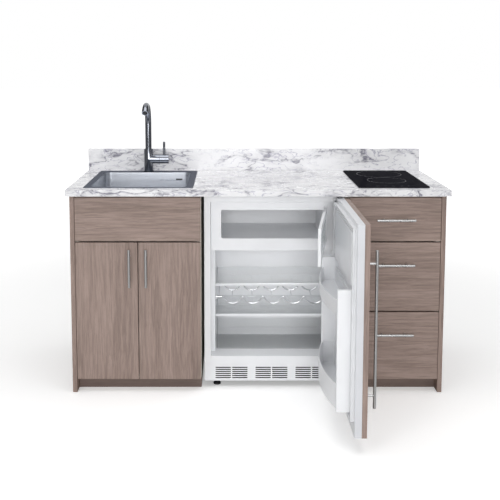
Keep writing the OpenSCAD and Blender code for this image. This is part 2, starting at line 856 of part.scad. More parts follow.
// The hub turns about the side housing and carries the lever in a slot
module tap_hub() {
    play = 0.5;
    slot_w = lever_d + 2.5;
    color(dark_chrome) difference() {
        union() {
            rod([sink_x + tap_side_l + play, tap_y, tap_z + tap_side_z], tap_hub_l - play, tap_d + 1, "x");
            rod([sink_x + tap_side_l - 11, tap_y, tap_z + tap_side_z], 12, 20, "x");
        }
        block([hub_x - lever_d / 2 - 1.5, tap_y - slot_w / 2, tap_z + tap_side_z - 9],
            [hub_x + lever_d / 2 + 10, tap_y + slot_w / 2, tap_z + tap_side_z + tap_d]);
    }
}

// The lever tilts on a barrel across the hub's slot
module tap_lever() {
    color(dark_chrome) translate([hub_x, tap_y, tap_z + tap_side_z]) {
        rod([0, -lever_d / 2 - 0.75, 0], lever_d + 1.5, lever_d + 1.5, "y");
        cylinder(d = lever_d, h = lever_l - 1);
        translate([0, 0, lever_l - 1 - EPS]) cylinder(d1 = lever_d, d2 = lever_d - 2, h = 1);
    }
}

// ---- Hob ----

module hob_glass() {
    color(black) round_block([hob_x - hob_w / 2, hob_y0, worktop_z],
        [hob_x + hob_w / 2, hob_y1, worktop_z + hob_glass_t], 10);
}

module hob_case() {
    lo = [hob_x - hob_w / 2 + hob_lap, hob_y0 + hob_lap, worktop_z - hob_case_h];
    hi = [hob_x + hob_w / 2 - hob_lap, hob_y1 - hob_lap, worktop_z];
    color(steel) difference() {
        block(lo, hi);
        block(lo + hob_sheet * [1, 1, 1], hi + [-hob_sheet, -hob_sheet, 1]);
    }
    color(black) block([hob_x - 35, hi.y - 60, lo.z - 14], [hob_x + 35, hi.y - 10, lo.z]);
}

// Radiant heaters on the floor of the case, a round pan with its element ring inside
module heater(d, y) {
    pan_z = worktop_z - hob_case_h + hob_sheet;
    translate([hob_x, y, pan_z]) rotate_extrude() {
        translate([0, 0]) square([d / 2, heater_h - 8]);
        translate([d / 2 - 8, 0]) square([8, hob_case_h - hob_sheet - 1]);
        for (r = [20:14:d / 2 - 16]) translate([r, heater_h - 8 - EPS]) square([4, 5]);
    }
}

module hob_heaters() {
    color([0.85, 0.83, 0.78]) {
        heater(heater_rear_d, hob_y1 - heater_rear_y);
        heater(heater_front_d, hob_y1 - heater_rear_y - heater_pitch);
    }
}

// ---- Refrigerator cabinet ----

// The space inside the cabinet, grown by g for the liner that lines it
module cavity(g) {
    difference() {
        union() {
            block([throat_x0 - g, fridge_y0 - 1, cavity_z0 - g], [throat_x1 + g, throat_y1 + g, cavity_z1 + g]);
            block([cavity_x0 - g, fridge_y0 - 1, cavity_z0 - g], [cavity_x1 + g, cavity_y1 + g, cavity_z1 + g]);
        }
        block([cavity_x0 - 5, cavity_y1 - step_d + g, cavity_z0 - 5], [cavity_x1 + 5, cavity_y1 + 5, step_z - g]);
    }
}

module compressor_bay() {
    block([fridge_x0 - 1, fridge_y1 - wall_t - step_d + 37, body_z0 - 1],
        [fridge_x1 + 1, fridge_y1 + 1, step_z - 40]);
}

// The painted steel wrap round the top, the sides and the back
module fridge_shell() {
    color(white) difference() {
        block([fridge_x0, fridge_y0, body_z0], [fridge_x1, fridge_y1, fridge_h]);
        block([fridge_x0 + shell_t, fridge_y0 - 1, body_z0 - 1],
            [fridge_x1 - shell_t, fridge_y1 - shell_t, fridge_h - shell_t]);
        block([fridge_x0 + shell_t, fridge_y1 - 5, body_z0 - 1], [fridge_x1 - shell_t, fridge_y1 + 1, step_z - 40]);
    }
}

module fridge_insulation() {
    color([0.93, 0.88, 0.72]) difference() {
        block([fridge_x0 + shell_t, fridge_y0 + liner_t, body_z0],
            [fridge_x1 - shell_t, fridge_y1 - shell_t, fridge_h - shell_t]);
        cavity(liner_t);
        compressor_bay();
    }
}

// Ledges on the liner's side walls carry the glass shelf, the wine rack and the crisper cover
module liner_ledges() {
    for (z = [shelf_z - pane_t, cover_z - pane_t, rack_z - wire_d / 2], flip = [0, 1])
        mirror_about(fridge_x, flip) block([cavity_x0 - EPS, shelf_y0 + 14, z - ledge_h],
            [cavity_x0 + ledge_w, cavity_y1 + EPS, z]);
}

module fridge_liner() {
    color(white) {
        difference() {
            union() {
                block([fridge_x0 + shell_t, fridge_y0, body_z0],
                    [fridge_x1 - shell_t, fridge_y0 + liner_t, fridge_h - shell_t]);
                intersection() {
                    cavity(liner_t);
                    block([fridge_x0, fridge_y0, 0], [fridge_x1, fridge_y1, fridge_h]);
                }
            }
            cavity(0);
        }
        liner_ledges();
    }
}

// The base frame under the cabinet: a floor plate with a rail up each side and an open frame behind the grille
module fridge_base() {
    lip = 10;
    x0 = fridge_x0 + shell_t;
    x1 = fridge_x1 - shell_t;
    y0 = fridge_y0 + grille_t;
    color([0.25, 0.25, 0.27]) difference() {
        block([x0, y0, foot_h], [x1, fridge_y1, body_z0]);
        block([x0 + base_sheet, y0 + base_sheet, foot_h + base_sheet],
            [x1 - base_sheet, fridge_y1 + 1, body_z0 + 1]);
        block([x0 + lip + base_sheet, y0 - 1, foot_h + base_sheet + lip],
            [x1 - lug_w - lip, y0 + base_sheet + 1, body_z0 - lip]);
    }
}

module fridge_feet() {
    color(black) for (x = [fridge_x0 + 53, fridge_x1 - 41], y = [fridge_y0 + 40, fridge_y1 - 40])
        translate([x, y, 0]) {
            cylinder(d = 32, h = 8);
            cylinder(d = 12, h = foot_h);
        }
}

// The toe grille has three groups of vents, each of two columns of slots
module toe_grille() {
    groups = 3;
    end_gap = 47;
    slot_w = 65;
    slot_h = 4.5;
    slot_pitch = 9;
    web = 6;
    slots = 6;
    foot_gap = 14;
    grille_w = fridge_w - lug_w - 1;
    group_pitch = (grille_w - 2 * end_gap - 2 * slot_w - web) / (groups - 1);
    color(white) difference() {
        block([fridge_x0, fridge_y0, foot_h + base_sheet], [fridge_x0 + grille_w, fridge_y0 + grille_t, body_z0]);
        for (group = [0:groups - 1], col = [0, 1], row = [0:slots - 1]) {
            x = fridge_x0 + end_gap + group * group_pitch + col * (slot_w + web);
            z = foot_h + foot_gap + row * slot_pitch;
            block([x, fridge_y0 - 1, z], [x + slot_w, fridge_y0 + grille_t + 1, z + slot_h]);
        }
    }
}

// The compressor stands on rubber feet, with its terminal box behind it and its tube up to the condenser
module compressor() {
    d = 112;
    h = 86;
    rise = 17;
    foot = 15;
    box = [44, 16, 46];
    x = fridge_x1 - 160;
    y = fridge_y1 - 66;
    z = foot_h + base_sheet;
    bend = 20;
    tube_z = 170;
    color(black) {
        translate([x, y, z]) {
            for (a = [45:90:315]) rotate(a) translate([d / 2, 0, 0]) cylinder(d = 16, h = foot - 3);
            translate([0, 0, foot - 3]) cylinder(d = d + 20, h = 3);
            translate([0, 0, foot]) cylinder(d = d, h = h);
            translate([0, 0, foot + h]) rotate_extrude() intersection() {
                dome_outline(d / 2, rise);
                square([d, rise]);
            }
        }
        translate([x - box.x / 2, y + d / 2 - 8, z + foot + 12]) cube(box);
    }
    color([0.62, 0.40, 0.28]) {
        rod([x, y, z + foot + h], tube_z - bend - z - foot - h, tube_d, "z");
        translate([x, y + bend, tube_z - bend]) rotate([0, 0, 90]) rotate([90, 0, 0]) tube_arc(bend, 90);
        rod([x, y + bend, tube_z], condenser_y - bend - y - bend, tube_d, "y");
        translate([x - bend, condenser_y - bend, tube_z]) tube_arc(bend, 0);
        rod([condenser_x0, condenser_y, tube_z], x - bend - condenser_x0, tube_d, "x");
        translate([condenser_x0, condenser_y, tube_z + bend]) rotate([90, 0, 0]) tube_arc(bend, 180);
        rod([condenser_x0 - bend, condenser_y, tube_z + bend], condenser_z0 - tube_z - 2 * bend, tube_d, "z");
        translate([condenser_x0, condenser_y, condenser_z0 - bend]) rotate([90, 0, 0]) tube_arc(bend, 90);
    }
}

// A quarter bend of refrigerant tube, starting at an angle
module tube_arc(r, start) {
    rotate(start) rotate_extrude(angle = 90) translate([r, 0]) circle(d = tube_d);
}

// A low dome outline, radius r and rise h, made from one circular arc
module dome_outline(r, h) {
    big = (r * r + h * h) / (2 * h);
    translate([0, h - big]) circle(big, $fn = 180);
}

// The condenser hangs behind the back, one tube in long runs with two straps
module condenser() {
    runs = 8;
    pitch = 60;
    strap_w = 16;
    strap_over = 20;
    color(black) {
        for (i = [0:runs - 1])
            rod([condenser_x0, condenser_y, condenser_z0 + i * pitch], condenser_x1 - condenser_x0, tube_d, "x");
        for (i = [0:runs - 2]) {
            odd = i % 2;
            translate([odd ? condenser_x0 : condenser_x1, condenser_y, condenser_z0 + (i + 0.5) * pitch])
                rotate([90, 0, 0]) rotate(odd ? 90 : -90)
                    rotate_extrude(angle = 180) translate([pitch / 2, 0]) circle(d = tube_d);
        }
        for (x = [condenser_x0 + 60, condenser_x1 - 60])
            block([x - strap_w / 2, fridge_y1, condenser_z0 - strap_over],
                [x + strap_w / 2, condenser_y - tube_d / 2 + 1, condenser_z0 + (runs - 1) * pitch + strap_over]);
    }
}

// The freezer compartment: a front frame, the compartment behind it and the hangers under the roof
module freezer_compartment() {
    color(white) difference() {
        union() {
            block([throat_x0 + frame_clear, frame_y0, frame_z0], [throat_x1 - frame_clear, frame_y0 + frame_t,
                cavity_z1]);
            block([freezer_x0 - box_wall, frame_y0 + frame_t - EPS, freezer_z0 - box_wall],
                [freezer_x1 + box_wall, frame_y0 + freezer_d, freezer_z1 + box_wall]);
            for (x = [freezer_x0 + 60, freezer_x1 - 60])
                block([x - 12, frame_y0 + 60, freezer_z1], [x + 12, frame_y0 + freezer_d - 40, cavity_z1]);
            for (z = [flap_z0 - lug_gap - lug_h, flap_z1 + lug_gap])
                block([flap_axis.x - 6, flap_axis.y - 5, z], [flap_axis.x + 6, frame_y0 + EPS, z + lug_h]);
        }
        translate([0, frame_y0 + freezer_d - box_wall, 0]) rotate([90, 0, 0]) linear_extrude(freezer_d)
            round_rect([freezer_x0, freezer_z0], [freezer_x1, freezer_z1], freezer_r);
    }
    color(steel) {
        translate([flap_axis.x, flap_axis.y, flap_z0 - lug_gap]) cylinder(d = flap_pin_d, h = lug_gap + 8);
        translate([flap_axis.x, flap_axis.y, flap_z1 - 8]) cylinder(d = flap_pin_d, h = lug_gap + 8);
    }
}

module flap_window_block(g, y_extra) {
    bar = 20;
    block([flap_x0 + bar - g, flap_axis.y - 2 - y_extra, flap_z0 + bar - g],
        [flap_x1 - bar + g, flap_axis.y + 1 + y_extra, flap_z1 - bar + g]);
}

module freezer_flap() {
    color(white) flap_open() difference() {
        block([flap_x0, flap_axis.y - flap_t / 2, flap_z0], [flap_x1, flap_axis.y + flap_t / 2, flap_z1]);
        flap_window_block(-4, 20);
        flap_window_block(0, 0);
        for (z = [flap_z0 - 1, flap_z1 - 9])
            translate([flap_axis.x, flap_axis.y, z]) cylinder(d = flap_pin_d + 0.4, h = 10);
    }
}

module freezer_flap_window() {
    color(clear) flap_open() flap_window_block(0, 0);
}

// Two glass panes lie on the ledges: the shelf and the cover over the crisper
module shelf_panes() {
    color(clear) for (z = [shelf_z, cover_z])
        block([cavity_x0 + shelf_clear, shelf_y0 + 4, z - pane_t], [cavity_x1 - shelf_clear, cavity_y1 - 4, z]);
}

// A moulded trim grips the front edge of each pane
module shelf_trims() {
    color(white) for (z = [shelf_z, cover_z]) difference() {
        block([cavity_x0 + shelf_clear, shelf_y0, z - pane_t - 3], [cavity_x1 - shelf_clear, shelf_y0 + trim_d,
            z - pane_t - 3 + trim_h]);
        block([cavity_x0, shelf_y0 + 4, z - pane_t], [cavity_x1, shelf_y0 + trim_d + 1, z]);
    }
}

// An arc of rack wire in the XZ plane about a centre, cut back by the weld gap at the ends named in cut
module wire_arc(x, z, r, start, sweep, cut = [1, 1]) {
    back = weld_gap / 2 / r * 180 / PI;
    translate([x, 0, z]) rotate([90, 0, 0]) rotate(start + cut[0] * back)
        rotate_extrude(angle = sweep - (cut[0] + cut[1]) * back) translate([r, 0]) circle(d = wire_d);
}

// A weld bead over the gap between two arcs
module weld_bead(x, z) {
    translate([x, 0, z]) sphere(d = wire_d + 0.8);
}

// One wire of the rack: cradles joined by crests, with a straight end on each side
module scalloped_wire() {
    first = fridge_x - (cradle_count - 1) * cradle_pitch / 2;
    lean = crest_lean;
    crest_z = rack_z - crest_r;
    for (i = [0:cradle_count - 1])
        wire_arc(first + i * cradle_pitch, cradle_z, cradle_r, 180 + lean, 180 - 2 * lean);
    for (i = [0:cradle_count - 1], side = [-1, 1]) {
        weld_bead(first + i * cradle_pitch + side * cradle_r * cos(lean), cradle_z - cradle_r * sin(lean));
    }
    for (i = [1:cradle_count - 1])
        wire_arc(first + (i - 0.5) * cradle_pitch, crest_z, crest_r, lean, 180 - 2 * lean);
    for (flip = [0, 1]) mirror_about(fridge_x, flip) {
        wire_arc(first - cradle_pitch / 2, crest_z, crest_r, lean, 90 - lean);
        weld_bead(first - cradle_pitch / 2, rack_z);
        rod([cavity_x0 + 1, 0, rack_z], first - cradle_pitch / 2 - cavity_x0 - 1 - weld_gap / 2, wire_d, "x");
    }
}

// The wine rack: a front and a rear scalloped wire laid on ledges, with long wires welded under them
module wine_rack() {
    first = fridge_x - (cradle_count - 1) * cradle_pitch / 2;
    long_d = wire_d - 1;
    weld = 0.8;
    under = (wire_d + long_d) / 2 - weld;
    ys = [shelf_y0 + 22, cavity_y1 - 90];
    color(steel) {
        for (y = ys) translate([0, y, 0]) scalloped_wire();
        for (i = [0:cradle_count - 1])
            rod([first + i * cradle_pitch, ys[0] - 4, cradle_z - cradle_r - under], ys[1] - ys[0] + 8, long_d, "y");
        for (flip = [0, 1]) mirror_about(fridge_x, flip)
            rod([cavity_x0 + ledge_w + 8, ys[0] - 4, rack_z - under], ys[1] - ys[0] + 8, long_d, "y");
    }
}

module crisper_drawer() {
    wall = 2.5;
    play = 4;
    lo = [cavity_x0 + play, shelf_y0 + 1, cavity_z0 + 0.5];
    hi = [cavity_x1 - play, cavity_y1 - step_d - play, cover_z - pane_t - ledge_h - 5];
    grip_z = lo.z + 98;
    color(clear) difference() {
        union() {
            round_block(lo, hi, 14);
            block([lo.x + 60, lo.y - 5, grip_z], [hi.x - 60, lo.y + 1, grip_z + 4]);
        }
        round_block(lo + wall * [1, 1, 1], [hi.x - wall, hi.y - wall, hi.z + 1], 14 - wall);
    }
}

// Thermostat on the right wall, above the shelf
module thermostat_housing() {
    color(white) difference() {
        block([cavity_x1 - stat.x, stat_y - stat.y / 2, stat_z - stat.z / 2],
            [cavity_x1, stat_y + stat.y / 2, stat_z + stat.z / 2]);
        rod([cavity_x1 - stat.x - 1, stat_y, stat_z], 16, dial_pin_d + 0.4, "x");
    }
}

module thermostat_dial() {
    dial_d = 36;
    grips = 12;
    color(white) translate([cavity_x1 - stat.x, stat_y, stat_z]) rotate([0, -90, 0]) {
        translate([0, 0, -13]) cylinder(d = dial_pin_d, h = 14);
        difference() {
            translate([0, 0, 0.5]) cylinder(d = dial_d, h = 11);
            for (i = [0:grips - 1]) rotate(i * 360 / grips) translate([dial_d / 2 + 1.5, 0, 3]) cylinder(d = 6, h = 10);
        }
    }
}

// Brackets with the pins on which the refrigerator door turns
module fridge_hinges() {
    top_z = front_z1 + bracket_gap;
    low_z = front_z0 - bracket_gap;
    w = 2 * axis_edge;
    color(steel) {
        block([fridge_x1 - 36, fridge_y0 + 4, fridge_h], [fridge_x1, fridge_y0 + 60, top_z + bracket_t]);
        block([fridge_x1 - w, door_axis.y - 8, top_z], [fridge_x1, fridge_y0 + 5, top_z + bracket_t]);
        translate([door_axis.x, door_axis.y, top_z - pin_run]) cylinder(d = hinge_pin_d, h = pin_run + 1);
        block([fridge_x1 - lug_w, fridge_y0 - bracket_t, low_z - bracket_t], [fridge_x1, fridge_y0, body_z0]);
        block([fridge_x1 - lug_w, fridge_y0, foot_h + base_sheet], [fridge_x1, fridge_y0 + grille_t, body_z0]);
        block([fridge_x1 - w, door_axis.y - 8, low_z - bracket_t], [fridge_x1, fridge_y0 - bracket_t + EPS, low_z]);
        translate([door_axis.x, door_axis.y, low_z - 1]) cylinder(d = hinge_pin_d, h = pin_run + 1);
    }
}

// ---- Refrigerator door, drawn closed and put at its open angle ----

module fridge_door_case() {
    color(white) door_open() difference() {
        block([fridge_x0, front_back_y, front_z0], [fridge_x1, door_back_y, front_z1]);
        block([fridge_x0 + shell_t, front_back_y + shell_t, front_z0 + shell_t],
            [fridge_x1 - shell_t, door_back_y + 1, front_z1 - shell_t]);
    }
}

// A slab of the door liner with round corners, from depth y0 to y1 in the closed door
module liner_slab(inset, z0, z1, y0, y1, r) {
    translate([0, y1, 0]) rotate([90, 0, 0]) linear_extrude(y1 - y0)
        round_rect([door_inner_x0 + inset, z0], [door_inner_x1 - inset, z1], r);
}

// The moulded door liner: a raised field, a pocket over the middle bin, a pad at the freezer and two dikes
module fridge_door_liner() {
    edge = 3;
    field_y = door_back_y + raised_t;
    color(white) door_open() {
        block([fridge_x0 + shell_t, door_back_y - liner_t, front_z0 + shell_t],
            [fridge_x1 - shell_t, door_back_y, front_z1 - shell_t]);
        difference() {
            block([door_inner_x0, door_back_y - EPS, cavity_z0 + edge],
                [door_inner_x1, field_y, cavity_z1 - edge]);
            liner_slab(pad_inset, middle_bin_z + middle_bin_h + pocket_gap, dike_z1, door_back_y + 1, field_y + 1,
                pocket_r);
        }
        liner_slab(pad_inset, dike_z1 + pocket_gap, cavity_z1 - edge - pocket_gap, field_y - EPS, field_y + pad_t,
            pad_r);
        for (flip = [0, 1]) mirror_about(fridge_x, flip)
            block([door_inner_x0, door_back_y, dike_z0], [door_inner_x0 + dike_w, field_y + dike_d, dike_z1]);
    }
}

module fridge_door_gasket() {
    w = 12;
    inner_x = throat_wall - 1;
    inner_lo = cavity_z0 - 13;
    inner_hi = cavity_z1 + 3;
    color([0.82, 0.82, 0.84]) door_open() difference() {
        block([fridge_x0 + inner_x - w, door_back_y, inner_lo - w],
            [fridge_x1 - inner_x + w, fridge_y0 - 0.5, inner_hi + w]);
        block([fridge_x0 + inner_x, door_back_y - 1, inner_lo], [fridge_x1 - inner_x, fridge_y0 + 1, inner_hi]);
    }
}

module fridge_door_panel() {
    color(oak) door_open() difference() {
        block([fridge_x0, face_y, front_z0], [fridge_x1, front_back_y, front_z1]);
        for (z = [front_z0 - 1, front_z1 - pin_run])
            translate([door_axis.x, door_axis.y, z]) cylinder(d = hinge_pin_d + 0.2, h = pin_run + 1);
    }
}

module fridge_door_pull() {
    color(steel) door_open()
        bar_pull(fridge_x0 + split_edge, (front_z0 + front_z1) / 2, long_pull_l, long_pull_centres, "z");
}

// The plan outline of a bin: straight back and sides with a bowed front, inset by g
module bin_outline(g) {
    x0 = door_inner_x0 + dike_w + 1 + g;
    x1 = door_inner_x1 - dike_w - 1 - g;
    half = (x1 - x0) / 2;
    r = (half * half + bin_bulge * bin_bulge) / (2 * bin_bulge);
    reach = asin(half / r);
    steps = 12;
    polygon(concat(
        [[x0, g], [x1, g]],
        [for (i = [0:steps]) let (a = reach - 2 * reach * i / steps)
            [(x0 + x1) / 2 + r * sin(a), bin_depth + bin_bulge - r + r * cos(a) - g]]
    ));
}

module door_bin(z, h) {
    wall = 2.5;
    translate([0, door_back_y + raised_t, z]) difference() {
        linear_extrude(h) bin_outline(0);
        translate([0, 0, wall]) linear_extrude(h) bin_outline(wall);
    }
}

module fridge_door_bins() {
    color(white) door_open() {
        door_bin(cavity_z0 + 6, low_bin_h);
        door_bin(middle_bin_z, middle_bin_h);
    }
}

worktop();
backsplash();
end_panels();
carcass_sides();
carcass_floors();
carcass_backs();
carcass_rails();
bay_rails();
toe_kicks();
false_front();
hinge_arms();
cabinet_runners();
sink();
sink_drain();
waste_trap();
basket_strainer();
tap_body();
tap_spout();
tap_hub();
tap_lever();
hob_glass();
hob_case();
hob_heaters();
left_door();
left_door_fittings();
right_door();
right_door_fittings();
top_drawer_front();
top_drawer_box();
top_drawer_fittings();
middle_drawer_front();
middle_drawer_box();
middle_drawer_fittings();
bottom_drawer_front();
bottom_drawer_box();
bottom_drawer_fittings();
fridge_shell();
fridge_insulation();
fridge_liner();
fridge_base();
fridge_feet();
toe_grille();
compressor();
condenser();
freezer_compartment();
shelf_panes();
shelf_trims();
wine_rack();
crisper_drawer();
thermostat_housing();
thermostat_dial();
fridge_hinges();
fridge_door_case();
fridge_door_liner();
fridge_door_gasket();
fridge_door_panel();
fridge_door_pull();
fridge_door_bins();
freezer_flap();
freezer_flap_window();
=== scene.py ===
"""Looks of a kitchenette unit.

Sink and hob sit in one worktop over two base units, with a panelled refrigerator between them.
Metres, +X right, +Y to the wall, +Z up; the origin is on the floor at the wall, half way along the row.
"""

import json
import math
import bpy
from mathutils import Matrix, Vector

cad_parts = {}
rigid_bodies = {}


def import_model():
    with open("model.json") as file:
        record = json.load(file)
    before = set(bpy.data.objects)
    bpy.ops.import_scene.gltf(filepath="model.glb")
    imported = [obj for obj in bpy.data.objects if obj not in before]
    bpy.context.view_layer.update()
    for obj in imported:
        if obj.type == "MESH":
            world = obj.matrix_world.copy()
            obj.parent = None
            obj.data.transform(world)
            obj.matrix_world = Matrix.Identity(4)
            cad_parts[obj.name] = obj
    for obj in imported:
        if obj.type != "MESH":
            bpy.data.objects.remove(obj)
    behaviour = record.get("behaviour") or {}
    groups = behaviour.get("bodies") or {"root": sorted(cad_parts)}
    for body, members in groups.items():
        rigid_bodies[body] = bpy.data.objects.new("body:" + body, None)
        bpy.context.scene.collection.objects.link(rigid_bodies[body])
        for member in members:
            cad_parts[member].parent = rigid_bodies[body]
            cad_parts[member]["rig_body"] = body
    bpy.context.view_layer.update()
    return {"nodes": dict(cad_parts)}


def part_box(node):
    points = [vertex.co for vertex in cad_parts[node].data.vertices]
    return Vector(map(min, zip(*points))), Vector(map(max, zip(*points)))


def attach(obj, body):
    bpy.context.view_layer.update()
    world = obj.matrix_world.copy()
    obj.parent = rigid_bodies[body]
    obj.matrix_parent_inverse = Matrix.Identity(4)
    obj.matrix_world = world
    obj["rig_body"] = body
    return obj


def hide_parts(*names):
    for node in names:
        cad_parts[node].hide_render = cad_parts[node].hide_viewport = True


bl_info = {
    "name": "Kitchenette Unit",
    "version": (1, 0, 0),
    "blender": (4, 5, 0),
    "location": "3D View > Sidebar > Kitchenette",
    "description": "Dresses a kitchenette unit with sink, hob and refrigerator",
    "category": "Add Mesh",
}

import bmesh
import bpy
from bpy.props import FloatProperty, FloatVectorProperty, IntProperty, PointerProperty
from mathutils import Matrix, Vector

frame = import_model()
NODES = frame["nodes"]
MM = 0.001


# ---- Sizes and colours a user would change ----


def colour_property(name, value, description):
    return FloatVectorProperty(
        name=name, description=description, subtype="COLOR", size=3, min=0, max=1, default=value
    )


def length_property(name, value, description):
    return FloatProperty(name=name, description=description, default=value, unit="LENGTH")


def power_property(name, value, description):
    return FloatProperty(name=name, description=description, default=value, unit="POWER")


def share_property(name, value, description):
    return FloatProperty(name=name, description=description, default=value, min=0, subtype="FACTOR")


class KitchenetteColours(bpy.types.PropertyGroup):
    laminate_light: colour_property("Laminate light", (0.365, 0.273, 0.236), "Pale fibres of the laminate")
    laminate_dark: colour_property("Laminate dark", (0.190, 0.134, 0.111), "Dark fibres of the laminate")
    board: colour_property("Carcass board", (0.72, 0.66, 0.58), "Coated particle board inside the units")
    toe_board: colour_property("Toe board", (0.135, 0.095, 0.080), "Dark laminate of the toe boards")
    marble_base: colour_property("Marble ground", (0.80, 0.80, 0.815), "Ground of the worktop stone")
    marble_vein: colour_property("Marble veins", (0.13, 0.125, 0.175), "Grey-violet veins of the stone")
    sink_steel: colour_property("Sink steel", (0.62, 0.64, 0.68), "Brushed steel of the sink bowl")
    # The rim's colour is the sink steel painted darker: painted shade for the dark reflections on the rim.
    rim_steel: colour_property("Rim steel", (0.19, 0.20, 0.23), "Darker brushed steel of the sink rim")
    pull_steel: colour_property("Pull steel", (0.40, 0.40, 0.40), "Satin steel of the bar pulls")
    zinc: colour_property("Zinc", (0.60, 0.60, 0.60), "Zinc-plated hinges, runners and screws")
    tap_metal: colour_property("Tap metal", (0.19, 0.20, 0.225), "Gunmetal chrome of the tap")
    pipe_plastic: colour_property("Waste pipe", (0.74, 0.74, 0.72), "Off-white plastic of the trap")
    appliance_white: colour_property("Appliance white", (0.84, 0.85, 0.87), "White enamel and plastic")
    case_grey: colour_property("Door case", (0.66, 0.67, 0.70), "Pale grey enamel of the door's steel case")
    foam: colour_property("Foam", (0.83, 0.72, 0.45), "Insulation inside the refrigerator's walls")
    black_paint: colour_property("Black paint", (0.012, 0.012, 0.014), "Paint of base and condenser")
    black_plastic: colour_property("Black plastic", (0.014, 0.014, 0.015), "Feet and other black mouldings")
    slot_shadow: colour_property("Slot shadow", (0.02, 0.02, 0.022), "Walls of narrow slots and recesses")
    shelf_tint: colour_property("Shelf glass", (0.90, 0.96, 0.95), "Green tint of the glass shelves")
    crisper_tint: colour_property("Crisper", (0.92, 0.95, 0.96), "Clear plastic of the crisper")
    flap_tint: colour_property("Flap window", (0.83, 0.90, 0.93), "Frosted window of the freezer flap")
    chrome: colour_property("Chrome", (0.72, 0.72, 0.74), "Bright wire of the wine rack")
    gasket: colour_property("Gasket", (0.74, 0.75, 0.77), "Pale vinyl of the door gasket")
    copper: colour_property("Copper", (0.78, 0.40, 0.26), "Refrigerant tube")
    hob_glass: colour_property("Hob glass", (0.008, 0.008, 0.012), "Black glass of the hob")
    heater: colour_property("Heater board", (0.69, 0.65, 0.57), "Fibre board under the cooking zones")
    ring_grey: colour_property("Hob print", (0.11, 0.11, 0.12), "Grey print of the cooking zones")
    scale_grey: colour_property("Dial print", (0.16, 0.17, 0.19), "Print round the thermostat dial")


class KitchenetteSizes(bpy.types.PropertyGroup):
    front_edge: length_property("Front edge", 1.2 * MM, "Edge radius of doors and drawer fronts")
    stone_edge: length_property("Stone edge", 2.5 * MM, "Edge radius of the worktop")
    moulded_edge: length_property("Moulded edge", 3 * MM, "Edge radius of the refrigerator's mouldings")
    sheet_edge: length_property("Sheet edge", 0.4 * MM, "Edge radius of pressed sheet and raw board")
    fitting_edge: length_property("Fitting edge", 0.8 * MM, "Edge radius of pulls and small fittings")
    gasket_pleat: length_property("Gasket pleat", 1.6 * MM, "Depth of the pleats in the door gasket")
    zone_line: length_property("Zone line", 1.4 * MM, "Width of the printed rings on the hob")
    crease_width: length_property("Crease width", 5 * MM, "Width of the creases round the drain")
    condenser_wire: length_property("Condenser wire", 1.5 * MM, "Diameter of the condenser's wires")
    wire_pitch: length_property("Wire pitch", 12 * MM, "Distance between the condenser wires")
    edge_segments: IntProperty(
        name="Edge segments", description="Steps in each rounded edge", default=3, min=1, max=6
    )


class KitchenetteStage(bpy.types.PropertyGroup):
    sky: share_property("Sky", 0.26, "Strength of the even light")
    key: power_property("Key lamp", 34, "Lamp at the front left")
    fill: power_property("Fill lamp", 16, "Lamp at the front right")
    front: power_property("Front lamp", 255, "Distant lamp that reaches into the cabinets")
    above: power_property("Top lamp", 84, "Wide lamp above the worktop")
    inside: power_property("Inner lamp", 0.45, "Small lamp under the freezer box")
    side_shade: share_property("Side shade", 0.16, "Strength of the dark side screens that metal shows")
    floor_glow: share_property("Floor glow", 0.32, "White added to the floor for the camera")
    focal_px: FloatProperty(
        name="Focal length", description="Focal length in pixels of a 500 pixel frame", default=871
    )
    eye: FloatVectorProperty(
        name="Eye", description="Camera place", size=3, subtype="TRANSLATION", default=(-0.12, -4.136, 1.417)
    )
    pitch: FloatProperty(
        name="Pitch", description="Downward tilt of the camera", default=math.radians(6.33), subtype="ANGLE"
    )
    shift: FloatVectorProperty(
        name="Lens shift", description="Camera shift, share of the frame", size=2, default=(0.0426, -0.20)
    )


GROUPS = {
    "kitchenette_colours": KitchenetteColours,
    "kitchenette_sizes": KitchenetteSizes,
    "kitchenette_stage": KitchenetteStage,
}


def colours():
    return bpy.context.scene.kitchenette_colours


def sizes():
    return bpy.context.scene.kitchenette_sizes


# ---- Places of the CAD model that no node's box gives ----

TAP_X, TAP_Y = -0.4955, -0.081
SPOUT_ARC_Z = 1.0922
SPOUT_RADIUS = 88 * MM
SPOUT_SWEEP = math.radians(130)
SPOUT_TIP = 12 * MM
BOWL_FLOOR = 0.714
OVERFLOW_BOX = ((-0.377, -0.1096, 0.819), (-0.325, -0.0966, 0.846))
HINGE_PLATE_Y = -0.545
HOB_ZONES = ((-0.192, 100 * MM), (-0.390, 82.5 * MM))
TUBE_ABOVE_Z = 0.150
TUBE_BEHIND_Y = -0.086
CONDENSER_ENDS = (-0.140, 0.288)
CONDENSER_Y = -0.075
CONDENSER_TUBE = 6 * MM
LOWER_HINGE_SCREWS = [(0.360, -0.550, z) for z in (0.067, 0.085)]
UPPER_HINGE_SCREWS = ((0.345, -0.526), (0.361, -0.500))


# ---- Shader node groups ----


def group_tree(name, inputs, outputs):
    """A shader node group with its input and output nodes."""
    tree = bpy.data.node_groups.new(name, "ShaderNodeTree")
    for label, kind, value in inputs:
        socket = tree.interface.new_socket(name=label, in_out="INPUT", socket_type="NodeSocket" + kind)
        if value is not None:
            socket.default_value = value
    for label, kind in outputs:
        tree.interface.new_socket(name=label, in_out="OUTPUT", socket_type="NodeSocket" + kind)
    return tree, tree.nodes.new("NodeGroupInput"), tree.nodes.new("NodeGroupOutput")


def wire(tree, source, socket):
    """Links an output to an input, or sets the input where source is a plain value."""
    if isinstance(source, bpy.types.NodeSocket):
        tree.links.new(source, socket)
    else:
        socket.default_value = source


def maths(tree, operation, a, b=0.0):
    node = tree.nodes.new("ShaderNodeMath")
    node.operation = operation
    wire(tree, a, node.inputs[0])
    wire(tree, b, node.inputs[1])
    return node.outputs[0]


